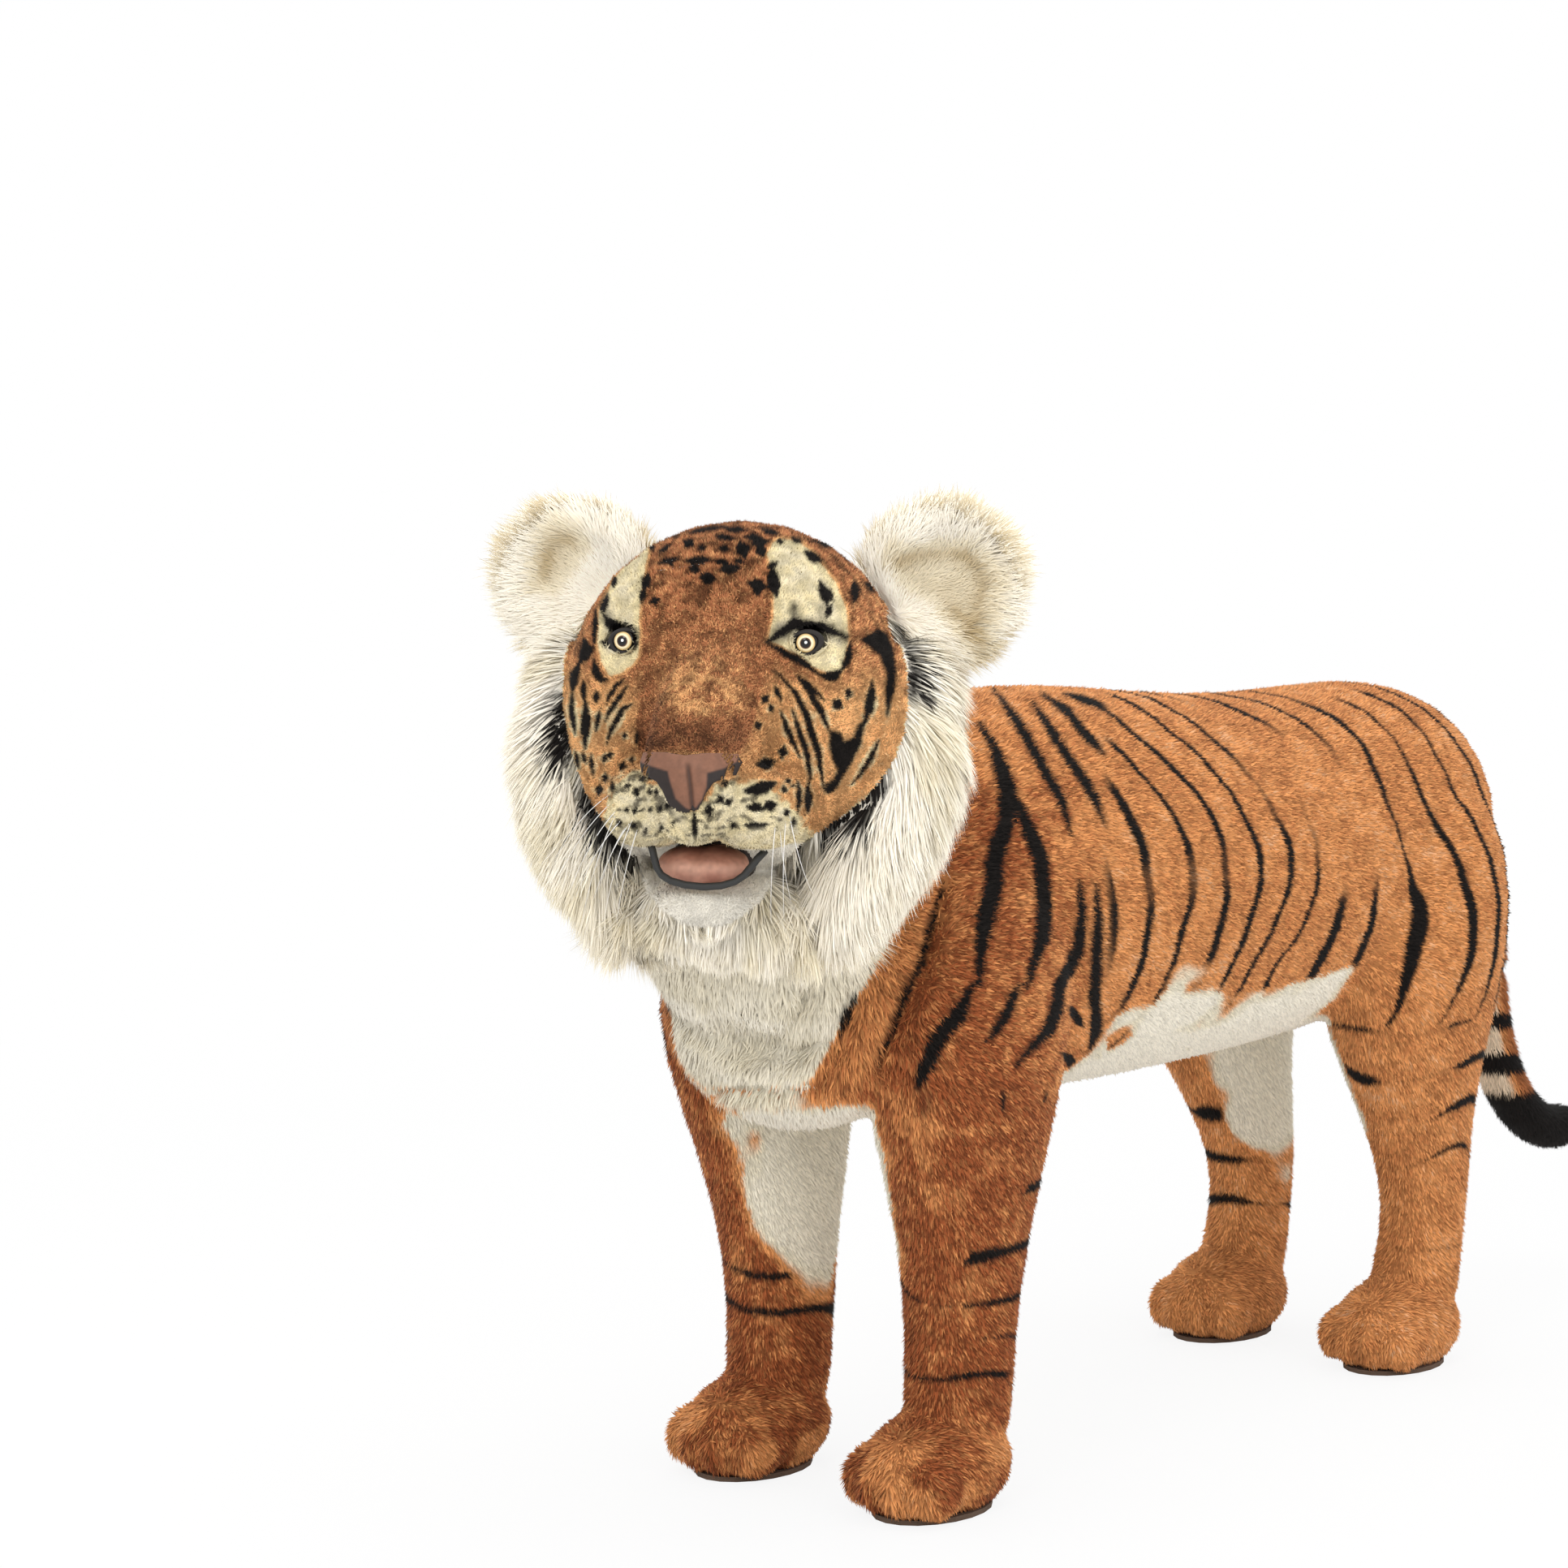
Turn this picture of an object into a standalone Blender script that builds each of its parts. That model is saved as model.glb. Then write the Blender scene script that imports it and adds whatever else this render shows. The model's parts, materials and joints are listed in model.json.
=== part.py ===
# Standing plush tiger with a swivelling head, sprung ears and a posable tail.
# Metres, +Z up. The tiger looks towards -Y and its left side is +X.
# Body pieces are measured from the head's swivel axis, head pieces from the middle of the head.

import math

import bmesh
import bpy
from mathutils import Matrix, Vector

for old in list(bpy.data.objects):
    bpy.data.objects.remove(old, do_unlink=True)

# Fits
FIT = 0.0003            # between pieces that touch
TURN_FIT = 0.0009       # between pieces that turn in each other
SOFT_TURN_FIT = 0.0022  # between the stuffed neck and the head that turns over it
OVERRUN = 0.004         # how far a cutter runs past a face
FLAT_ANGLE = math.radians(0.8)

# Trunk
TRUNK_LENGTH = 1.19
TRUNK_LEAD = 0.055          # chest ahead of the swivel axis
TRUNK_HALF_WIDTH = 0.203
TRUNK_HALF_HEIGHT = 0.208
TRUNK_AXIS_HEIGHT = 0.58

# Along the trunk, then the middle's height, half width and half height
TRUNK_SHARES = (
    (0.004, 0.810, 0.25, 0.19),
    (0.034, 0.831, 0.62, 0.46),
    (0.076, 0.866, 0.83, 0.63),
    (0.118, 0.950, 0.82, 0.83),
    (0.168, 0.986, 0.93, 0.94),
    (0.235, 0.993, 1.00, 0.98),
    (0.324, 1.000, 1.00, 1.00),
    (0.450, 0.991, 0.985, 0.985),
    (0.600, 0.976, 0.96, 0.93),
    (0.752, 0.983, 0.95, 0.905),
    (0.861, 1.005, 0.925, 0.875),
    (0.937, 1.034, 0.78, 0.745),
    (0.983, 1.060, 0.49, 0.48),
    (0.998, 1.066, 0.20, 0.20),
)

# Neck column, widest where it leaves the shoulders
NECK_RADIUS = 0.126
NECK_SINK = 0.13            # foot of the column below the trunk's axis
NECK_RISE = 0.12            # top of the column above the trunk's axis
NECK_FOOT_HEIGHT = TRUNK_AXIS_HEIGHT - NECK_SINK
NECK_TOP_HEIGHT = TRUNK_AXIS_HEIGHT + NECK_RISE

# Up the neck, then the middle's set-back, the radius
NECK_SHARES = (
    (0.00, 0.52, 0.66),
    (0.20, 0.22, 0.97),
    (0.42, 0.06, 1.00),
    (0.64, 0.00, 0.985),
    (0.80, 0.00, 0.91),
    (0.92, 0.00, 0.75),
    (1.00, 0.00, 0.54),
)

# Head place and size
HEAD_RISE = 0.10            # middle of the head above the neck
HEAD_HEIGHT = NECK_TOP_HEIGHT + HEAD_RISE
HEAD_LEAD = 0.13            # middle of the head ahead of the swivel axis
HEAD_TURN = math.radians(29.0)
HEAD_HALF_WIDTH = 0.163
HEAD_HALF_HEIGHT = 0.163
HEAD_DEPTH = 0.26
HEAD_BACK = 0.165           # behind the middle of the head

# From the back of the head to the face, then height, half width and half height
HEAD_SHARES = (
    (0.00, 0.00, 0.37, 0.37),
    (0.12, 0.00, 0.72, 0.74),
    (0.36, 0.03, 0.93, 0.95),
    (0.63, 0.00, 1.00, 1.00),
    (0.81, -0.05, 0.935, 0.95),
    (0.935, -0.11, 0.80, 0.84),
    (1.00, -0.16, 0.50, 0.58),
)

# Back of the head, round about the swivel axis
OCCIPUT_RADIUS = 0.132
OCCIPUT_HALF_HEIGHT = 0.105

# Snout and nose
SNOUT_ROOT = 0.04           # ahead of the middle of the head
SNOUT_LENGTH = 0.145
SNOUT_HALF_WIDTH = 0.055
SNOUT_HALF_HEIGHT = 0.098
SNOUT_DROP = 0.085          # nose end below the middle of the head

# Along the snout, then drop, half width and half height
SNOUT_SHARES = (
    (0.00, 0.22, 0.96, 0.95),
    (0.28, 0.30, 0.97, 0.94),
    (0.55, 0.46, 0.94, 0.83),
    (0.79, 0.66, 0.86, 0.67),
    (0.94, 0.82, 0.73, 0.50),
    (1.00, 0.86, 0.42, 0.30),
)

NOSE_WIDTH = 0.088
NOSE_HEIGHT = 0.063
NOSE_TOP = 0.036            # below the middle of the head
NOSE_PROUD = 0.006          # leather ahead of the snout's end
NOSE_REACH = SNOUT_ROOT + SNOUT_LENGTH + NOSE_PROUD
NOSE_CROWN = 0.055          # radius of the leather's rounded front
NOSE_CROWN_WIDE_SHARE = 0.62
NOSE_CROWN_HIGH_SHARE = 0.95
NOSE_CROWN_DROP_SHARE = 0.42

# Half outline of the nose leather, across then down
NOSE_OUTLINE_SHARES = (
    (0.00, 0.04), (0.22, 0.00), (0.46, 0.02), (0.50, 0.16), (0.46, 0.33),
    (0.28, 0.42), (0.21, 0.56), (0.14, 0.80), (0.00, 1.00),
)

# Muzzle, jaw and mouth
MUZZLE_RADIUS = 0.049
PAD_CUT_SIZE = 0.16         # block that parts the two pads, wider than a pad
MUZZLE_SPACING = 0.096      # between the middles of the two pads
MUZZLE_LEAD = 0.122
MUZZLE_DROP = 0.090
MUZZLE_HEIGHT_SHARE = 0.76

JAW_LENGTH = 0.155
JAW_HALF_WIDTH = 0.058
JAW_HALF_HEIGHT = 0.026
JAW_DROP = 0.180

JAW_SHARES = (
    (0.00, 0.94, 1.00, 1.15),
    (0.32, 0.96, 1.03, 1.10),
    (0.64, 0.99, 1.00, 0.86),
    (0.88, 1.00, 0.80, 0.72),
    (1.00, 1.00, 0.40, 0.45),
)

MOUTH_HALF_WIDTH = 0.050
MOUTH_HALF_HEIGHT = 0.033
MOUTH_DROP = 0.146
MOUTH_ROOT = 0.02
MOUTH_DEPTH = 0.078
MOUTH_SHARES = ((0.0, 1.0, 0.9, 0.9), (0.4, 1.0, 1.0, 1.0), (0.8, 1.0, 1.0, 1.0), (1.0, 1.0, 0.9, 0.85))

TONGUE_LENGTH = 0.050
TONGUE_OVERLAP = 0.008      # root of the tongue inside the lining before it is cut
TONGUE_HALF_WIDTH = 0.044
TONGUE_HALF_HEIGHT = 0.015
TONGUE_DROP = 0.153
TONGUE_SHARES = (
    (0.0, 0.98, 0.92, 0.80),
    (0.4, 0.99, 1.00, 1.00),
    (0.8, 1.00, 0.86, 0.80),
    (1.0, 1.02, 0.50, 0.45),
)

# Glass eyes with shanks and lock washers
EYE_RADIUS = 0.0135
EYE_SPACING = 0.168
EYE_LEAD = 0.071
EYE_RISE = 0.056
SHANK_RADIUS = 0.003
SHANK_LENGTH = 0.030
WASHER_RADIUS = 0.014
WASHER_THICKNESS = 0.002
LID_THICKNESS = 0.0035
LID_FRONT_SHARE = 0.45      # of the eye's radius, ahead of the middle of the eye
LID_BACK_SHARE = 0.50
LID_BORE_SHARE = 0.86
WASHER_SEAT_SHARE = 0.62    # of the shank's length

# Ruff about the face: three stuffed pads along one arc
RUFF_HALF_WIDTH = 0.156
RUFF_DROP = 0.208
RUFF_RADIAL_HALF = 0.046
RUFF_DEPTH_HALF = 0.062

# Across, height, lead of the arc, then the swelling
RUFF_SIDE_SHARES = (
    (0.86, 0.24, -0.22, 0.55),
    (1.00, 0.08, -0.17, 0.86),
    (1.10, -0.14, -0.08, 1.00),
    (1.06, -0.40, 0.02, 1.05),
    (0.88, -0.65, 0.12, 1.06),
    (0.66, -0.86, 0.22, 0.98),
    (0.50, -0.96, 0.26, 0.75),
)
RUFF_THROAT_SHARES = (
    (0.60, -0.88, 0.24, 0.80),
    (0.34, -0.97, 0.30, 0.98),
    (0.00, -1.00, 0.34, 1.02),
    (-0.34, -0.97, 0.30, 0.98),
    (-0.60, -0.88, 0.24, 0.80),
)

# Ears: round cups on a rolled root
EAR_HALF_LENGTH = 0.071
EAR_HALF_WIDTH = 0.067
EAR_HALF_THICKNESS = 0.018
EAR_SPACING = 0.340         # between the middles of the two ears
EAR_RISE = 0.100
EAR_SET_BACK = 0.085
EAR_LEAN = math.radians(52.0)
EAR_SWING = math.radians(18.0)
EAR_ROOT_RADIUS = 0.015
EAR_ROOT_LENGTH = 0.082
EAR_ROOT_SINK = 0.062       # root axis below the middle of the ear
EAR_CUP_SHARE = 0.80
EAR_CUP_FRONT_SHARE = 1.15  # of the half thickness, ahead of the middle of the ear
EAR_CUP_RISE_SHARE = 0.10
EAR_FIT = 0.0009            # between the ear and the head
EAR_SWING_SHARES = (-1.0, 0.0, 1.0)

# Legs
LEG_SPACING = 0.236         # between the rods of a left and a right leg
FRONT_LEG_BACK = 0.15
HIND_LEG_INSET = 0.173      # rod ahead of the rump's end
HIND_LEG_BACK = TRUNK_LENGTH - TRUNK_LEAD - HIND_LEG_INSET
SHOULDER_RISE = 0.06        # tops of the legs above the trunk's axis
HAUNCH_RISE = 0.09
FRONT_LEG_HEIGHT = TRUNK_AXIS_HEIGHT + SHOULDER_RISE
HIND_LEG_HEIGHT = TRUNK_AXIS_HEIGHT + HAUNCH_RISE
FRONT_LEG_HALF_WIDTH = 0.082
FRONT_LEG_HALF_DEPTH = 0.130
HIND_LEG_HALF_WIDTH = 0.088
HIND_LEG_HALF_DEPTH = 0.150

# Height, outward and backward shift, half width, half depth
FRONT_LEG_SHARES = (
    (1.00, 0.08, 0.20, 0.55, 0.55),
    (0.90, 0.18, 0.05, 0.93, 0.92),
    (0.74, 0.20, -0.11, 1.00, 1.00),
    (0.58, 0.12, -0.06, 0.88, 0.80),
    (0.40, 0.04, 0.00, 0.70, 0.50),
    (0.25, 0.00, 0.00, 0.61, 0.42),
    (0.14, 0.00, -0.03, 0.61, 0.43),
    (0.08, 0.00, -0.06, 0.56, 0.385),
)
HIND_LEG_SHARES = (
    (1.00, 0.02, -0.12, 0.55, 0.58),
    (0.87, 0.15, -0.20, 0.93, 0.95),
    (0.70, 0.22, -0.33, 1.00, 1.00),
    (0.55, 0.16, -0.27, 0.82, 0.74),
    (0.42, 0.06, -0.06, 0.61, 0.50),
    (0.30, 0.01, 0.12, 0.50, 0.36),
    (0.20, 0.00, 0.08, 0.49, 0.32),
    (0.12, 0.00, -0.03, 0.53, 0.37),
    (0.07, 0.00, -0.06, 0.50, 0.34),
)

# Paws with four toes and a suede sole
PAW_HALF_WIDTH = 0.062
PAW_HALF_LENGTH = 0.088
PAW_HEIGHT = 0.098
PAW_LEAD = 0.034            # paw's middle ahead of the rod
TOE_RADIUS = 0.026
TOE_REACH_SHARE = 0.72
TOE_STEP_BACK_SHARE = 0.14  # outer toes behind the inner ones
TOE_SPREAD_SHARE = 0.75     # how far the outer toes sit inside the paw's edge
TOE_HEIGHT_SHARE = 0.36
TOE_SHARES = (0.80, 1.35, 1.15)
TOE_PLACE_SHARES = (-1.0, -0.33, 0.33, 1.0)
PAW_MIDDLE_SHARE = 0.45     # of the paw's height
PAW_ROUND_SHARE = 0.55
SOLE_LEAD_SHARE = 0.08
SOLE_THICKNESS = 0.005
SOLE_SHARE = 0.80

# Steel frame
TUBE_RADIUS = 0.0125
SPINE_RISE = 0.02           # above the trunk's axis
SPINE_HEIGHT = TRUNK_AXIS_HEIGHT + SPINE_RISE
FOOT_PLATE_RADIUS = 0.040
FOOT_PLATE_THICKNESS = 0.004
FOOT_PLATE_HEIGHT = 0.014

# Swivel in the neck
DISC_RADIUS = 0.055
NECK_DISC_RADIUS = 0.050
DISC_THICKNESS = 0.006
POCKET_DROP = 0.012         # pocket for the discs, below the top of the neck
BOLT_RADIUS = 0.004
BOLT_HEAD_RADIUS = 0.009
BOLT_HEAD_HEIGHT = 0.006
BOLT_GRIP = 0.022           # in the neck post

# Tail in two wired lengths
TAIL_RADIUS = 0.033
TAIL_ROOT_INSET = 0.003     # root ahead of the rump's end
TAIL_ROOT_RISE = 0.096      # above the trunk's axis
TAIL_ROOT_BACK = TRUNK_LENGTH - TRUNK_LEAD - TAIL_ROOT_INSET
TAIL_ROOT_HEIGHT = TRUNK_AXIS_HEIGHT + TAIL_ROOT_RISE
TAIL_FALL = 0.255           # from the root to the mid joint
TAIL_REACH = 0.150
TAIL_TIP_FALL = 0.235
TAIL_TIP_REACH = 0.215
TAIL_KNOB_SHARE = 1.06
TAIL_MID_KNOB_SHARE = 0.90

# Back and down, then radius
TAIL_BASE_SHARES = (
    (0.00, 0.00, 1.00), (0.28, 0.06, 1.00), (0.60, 0.22, 0.97),
    (0.85, 0.50, 0.93), (0.97, 0.80, 0.89), (1.00, 1.00, 0.87),
)
TAIL_TIP_SHARES = (
    (0.00, 0.00, 0.86), (0.04, 0.28, 0.85), (0.16, 0.58, 0.82),
    (0.40, 0.86, 0.80), (0.70, 1.00, 0.80), (0.92, 1.00, 0.74), (1.00, 0.98, 0.45),
)

SIDES = (("left", 1), ("right", -1))

part_collection = bpy.data.collections.new("plush_tiger")
cutter_collection = bpy.data.collections.new("cutters")
bpy.context.scene.collection.children.link(part_collection)
bpy.context.scene.collection.children.link(cutter_collection)
cutter_collection.hide_render = True

materials = {}


def material(name, colour, roughness, metallic=0.0):
    """One Principled material, made once."""
    if name not in materials:
        made = bpy.data.materials.new(name)
        made.use_nodes = True
        shader = made.node_tree.nodes["Principled BSDF"]
        shader.inputs["Base Color"].default_value = (*colour, 1.0)
        shader.inputs["Roughness"].default_value = roughness
        shader.inputs["Metallic"].default_value = metallic
        materials[name] = made
    return materials[name]


def empty(name, place, parent=None, turn=0.0):
    """An empty that carries pieces."""
    made = bpy.data.objects.new(name, None)
    part_collection.objects.link(made)
    made.parent = parent
    made.location = place
    made.rotation_euler = (0.0, 0.0, turn)
    return made


def add(name, shape, parent, finish):
    """Turn a bmesh into a named piece."""
    bmesh.ops.recalc_face_normals(shape, faces=shape.faces)
    mesh = bpy.data.meshes.new(name)
    shape.to_mesh(mesh)
    shape.free()
    made = bpy.data.objects.new(name, mesh)
    (part_collection if finish else cutter_collection).objects.link(made)
    made.parent = parent
    if finish:
        mesh.materials.append(material(name, *finish))
    else:
        made.hide_render = True
        made.display_type = "WIRE"
    mesh.shade_smooth()
    return made


def loft(rings, sides):
    """Bmesh skin over rings, each a middle and two half axes."""
    shape = bmesh.new()
    swell = 3.0 / (2.0 + math.cos(math.tau / sides))
    loops = []
    for middle, across, up in rings:
        loop = []
        for step in range(sides):
            angle = math.tau * (step + 0.5) / sides
            offset = across * math.cos(angle) + up * math.sin(angle)
            loop.append(shape.verts.new(middle + offset * swell))
        loops.append(loop)
    for low, high in zip(loops, loops[1:]):
        for step in range(sides):
            after = (step + 1) % sides
            shape.faces.new((low[step], low[after], high[after], high[step]))
    shape.faces.new(loops[0])
    shape.faces.new(loops[-1])
    return shape


def apply(piece):
    """Keep what the modifiers show as the piece's own mesh."""
    bpy.context.view_layer.update()
    seen = piece.evaluated_get(bpy.context.evaluated_depsgraph_get())
    mesh = bpy.data.meshes.new_from_object(seen)
    mesh.name = piece.name
    shape = bmesh.new()
    shape.from_mesh(mesh)
    bmesh.ops.triangulate(shape, faces=shape.faces)
    shape.to_mesh(mesh)
    shape.free()
    piece.modifiers.clear()
    piece.data = mesh
    return piece


def soften(piece, level=1):
    """Round a cage."""
    modifier = piece.modifiers.new("round", "SUBSURF")
    modifier.levels = level
    modifier.render_levels = level
    return apply(piece)


def room(piece, gap, parent=None):
    """A cutter that is the piece grown by a gap."""
    mesh = piece.data.copy()
    shape = bmesh.new()
    shape.from_mesh(mesh)
    shape.normal_update()
    for vert in shape.verts:
        vert.co += vert.normal * gap * min(vert.calc_shell_factor(), 1.5)
    shape.to_mesh(mesh)
    shape.free()
    cutter = bpy.data.objects.new(piece.name + "_room", mesh)
    cutter_collection.objects.link(cutter)
    cutter.hide_render = True
    cutter.display_type = "WIRE"
    cutter.parent = parent or piece.parent
    cutter.matrix_world = piece.matrix_world.copy()
    bpy.context.view_layer.update()
    return cutter


def combine(piece, tool, operation="DIFFERENCE", keep=False):
    """Cut, join or intersect with a tool, then let the tool go."""
    modifier = piece.modifiers.new("shape", "BOOLEAN")
    modifier.operation = operation
    modifier.solver = "EXACT"
    modifier.object = tool
    apply(piece)
    if not keep:
        bpy.data.objects.remove(tool, do_unlink=True)
    return piece


def carve(piece, others, gap=FIT):
    """Cut a piece back from its neighbours."""
    for other in others:
        combine(piece, room(other, gap))
    return piece


def seat(pieces, ready=0):
    """Cut each piece after the ready ones back from all before it, as they were whole."""
    rooms = [room(piece, FIT) for piece in pieces]
    for number, piece in enumerate(pieces[ready:], ready):
        for tool in rooms[:number]:
            combine(piece, tool, keep=True)
    for tool in rooms:
        bpy.data.objects.remove(tool, do_unlink=True)


def drum(name, radius, bottom, top, place, parent, finish=None, sides=24):
    """An upright cylinder from one height to another."""
    shape = bmesh.new()
    bmesh.ops.create_cone(
        shape, cap_ends=True, segments=sides, radius1=radius, radius2=radius, depth=top - bottom,
        matrix=Matrix.Translation((place[0], place[1], (top + bottom) / 2)))
    return add(name, shape, parent, finish)


def rod(name, radius, start, end, parent, finish=None, sides=12):
    """A straight bar between two points."""
    shape = bmesh.new()
    run = end - start
    turn = run.to_track_quat("Z", "Y").to_matrix().to_4x4()
    bmesh.ops.create_cone(
        shape, cap_ends=True, segments=sides, radius1=radius, radius2=radius, depth=run.length,
        matrix=Matrix.Translation((start + end) / 2) @ turn)
    return add(name, shape, parent, finish)


def ball(name, radii, place, parent, finish=None, turn=None, segments=16, rows=10):
    """A sphere stretched to three radii."""
    shape = bmesh.new()
    matrix = Matrix.Translation(place) @ (turn or Matrix.Identity(4)) @ Matrix.Diagonal((*radii, 1.0))
    bmesh.ops.create_uvsphere(shape, u_segments=segments, v_segments=rows, radius=1.0, matrix=matrix)
    return add(name, shape, parent, finish)


def bent_tube(name, radius, points, parent, finish=None):
    """A tube through points, as a bevelled curve made into a mesh."""
    curve = bpy.data.curves.new(name, "CURVE")
    curve.dimensions = "3D"
    curve.bevel_depth = radius
    curve.bevel_resolution = 2
    curve.use_fill_caps = True
    spline = curve.splines.new("POLY")
    spline.points.add(len(points) - 1)
    for knot, point in zip(spline.points, points):
        knot.co = (*point, 1.0)
    guide = bpy.data.objects.new(name + "_guide", curve)
    cutter_collection.objects.link(guide)
    bpy.context.view_layer.update()
    seen = guide.evaluated_get(bpy.context.evaluated_depsgraph_get())
    mesh = bpy.data.meshes.new_from_object(seen)
    shape = bmesh.new()
    shape.from_mesh(mesh)
    bmesh.ops.remove_doubles(shape, verts=shape.verts, dist=radius / 1000)
    bpy.data.objects.remove(guide, do_unlink=True)
    return add(name, shape, parent, finish)


def long_form(name, shares, length, start, half_width, half_height, height, parent, finish, sides=10):
    """A stuffed form along Y: its shares give place, height, half width and half height."""
    rings = []
    for along, level, wide, high in shares:
        middle = Vector((0.0, start + length * along, height * level))
        rings.append((middle, Vector((half_width * wide, 0, 0)), Vector((0, 0, half_height * high))))
    return soften(add(name, loft(rings, sides), parent, finish))


def face_form(name, shares, length, start, half_width, half_height, base, parent, finish, sides=10):
    """A stuffed form that runs forward from the head's middle."""
    rings = []
    for along, drop, wide, high in shares:
        middle = head_point(0.0, start + length * along, base * drop)
        rings.append((middle, Vector((half_width * wide, 0, 0)), Vector((0, 0, half_height * high))))
    return soften(add(name, loft(rings, sides), parent, finish))


def head_point(across, lead, rise):
    """A place on the head, from its middle, in the head's own frame."""
    return Vector((across, -HEAD_LEAD - lead, HEAD_HEIGHT + rise))


def tail_form(name, shares, reach, fall, radius, parent, finish, back, height, sides=8):
    """A tapering tube along a hanging curve in the middle plane."""
    path = [Vector((0.0, back + reach * out, height - fall * down)) for out, down, _ in shares]
    rings = []
    for number, (_, _, girth) in enumerate(shares):
        before = path[max(number - 1, 0)]
        after = path[min(number + 1, len(path) - 1)]
        run = (after - before).normalized()
        up = Vector((1, 0, 0)).cross(run)
        rings.append((path[number], Vector((radius * girth, 0, 0)), up * radius * girth))
    return soften(add(name, loft(rings, sides), parent, finish))


ORANGE = ((0.50, 0.19, 0.055), 0.9)
RUST = ((0.42, 0.14, 0.045), 0.9)
CREAM = ((0.80, 0.74, 0.62), 0.9)
WHITE = ((0.84, 0.80, 0.72), 0.9)
DARK = ((0.03, 0.025, 0.022), 0.6)
SUEDE = ((0.16, 0.11, 0.08), 0.85)
STEEL = ((0.45, 0.46, 0.48), 0.4, 1.0)
BOARD = ((0.55, 0.42, 0.27), 0.7)
GLASS = ((0.75, 0.62, 0.30), 0.08)
LEATHER = ((0.42, 0.23, 0.19), 0.5)
PINK = ((0.62, 0.30, 0.27), 0.6)

base = empty("tiger_base", (0.0, 0.0, 0.0))
head_pivot = empty("head_pivot", (0.0, 0.0, 0.0), base, HEAD_TURN)


def build_frame():
    """Spine tube, crossbars, leg rods, foot plates and neck post."""
    half = LEG_SPACING / 2
    bar_height = SPINE_HEIGHT - 2 * TUBE_RADIUS - FIT
    rod_top = bar_height - TUBE_RADIUS - FIT
    plate_top = FOOT_PLATE_HEIGHT + FOOT_PLATE_THICKNESS
    steel = {}
    start = Vector((0, FRONT_LEG_BACK - TUBE_RADIUS, SPINE_HEIGHT))
    end = Vector((0, HIND_LEG_BACK + TUBE_RADIUS, SPINE_HEIGHT))
    steel["spine_tube"] = rod("spine_tube", TUBE_RADIUS, start, end, base, STEEL)
    for row, back in (("front", FRONT_LEG_BACK), ("hind", HIND_LEG_BACK)):
        reach = half + TUBE_RADIUS
        name = row + "_crossbar"
        steel[name] = rod(
            name, TUBE_RADIUS, Vector((-reach, back, bar_height)), Vector((reach, back, bar_height)),
            base, STEEL)
        for side, sign in SIDES:
            name = f"{row}_{side}_leg_rod"
            steel[name] = rod(
                name, TUBE_RADIUS, Vector((sign * half, back, plate_top + FIT)),
                Vector((sign * half, back, rod_top)), base, STEEL)
            name = f"{row}_{side}_foot_plate"
            steel[name] = drum(
                name, FOOT_PLATE_RADIUS, FOOT_PLATE_HEIGHT, plate_top, (sign * half, back), base,
                STEEL, sides=20)
    corner = 3 * TUBE_RADIUS
    points = [Vector((0, FRONT_LEG_BACK - TUBE_RADIUS - FIT, SPINE_HEIGHT))]
    for step in range(5):
        angle = math.pi / 2 * step / 4
        points.append(Vector((
            0, corner - corner * math.sin(angle), SPINE_HEIGHT + corner - corner * math.cos(angle))))
    points.append(Vector((0, 0, NECK_TOP_HEIGHT - FIT)))
    post = bent_tube("neck_post", TUBE_RADIUS, points, base, STEEL)
    steel["neck_post"] = post
    return steel


def bore_post(post):
    """The threaded bore that the swivel bolt grips."""
    top = NECK_TOP_HEIGHT + OVERRUN
    foot = NECK_TOP_HEIGHT - FIT - BOLT_GRIP - OVERRUN
    combine(post, drum("post_bore", BOLT_RADIUS + FIT, foot, top, (0, 0), base, sides=10))


def clear_frame(piece, steel, names):
    """Open the tunnels that the steel frame runs in."""
    for name in names:
        combine(piece, room(steel[name], FIT))
    return piece


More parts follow.
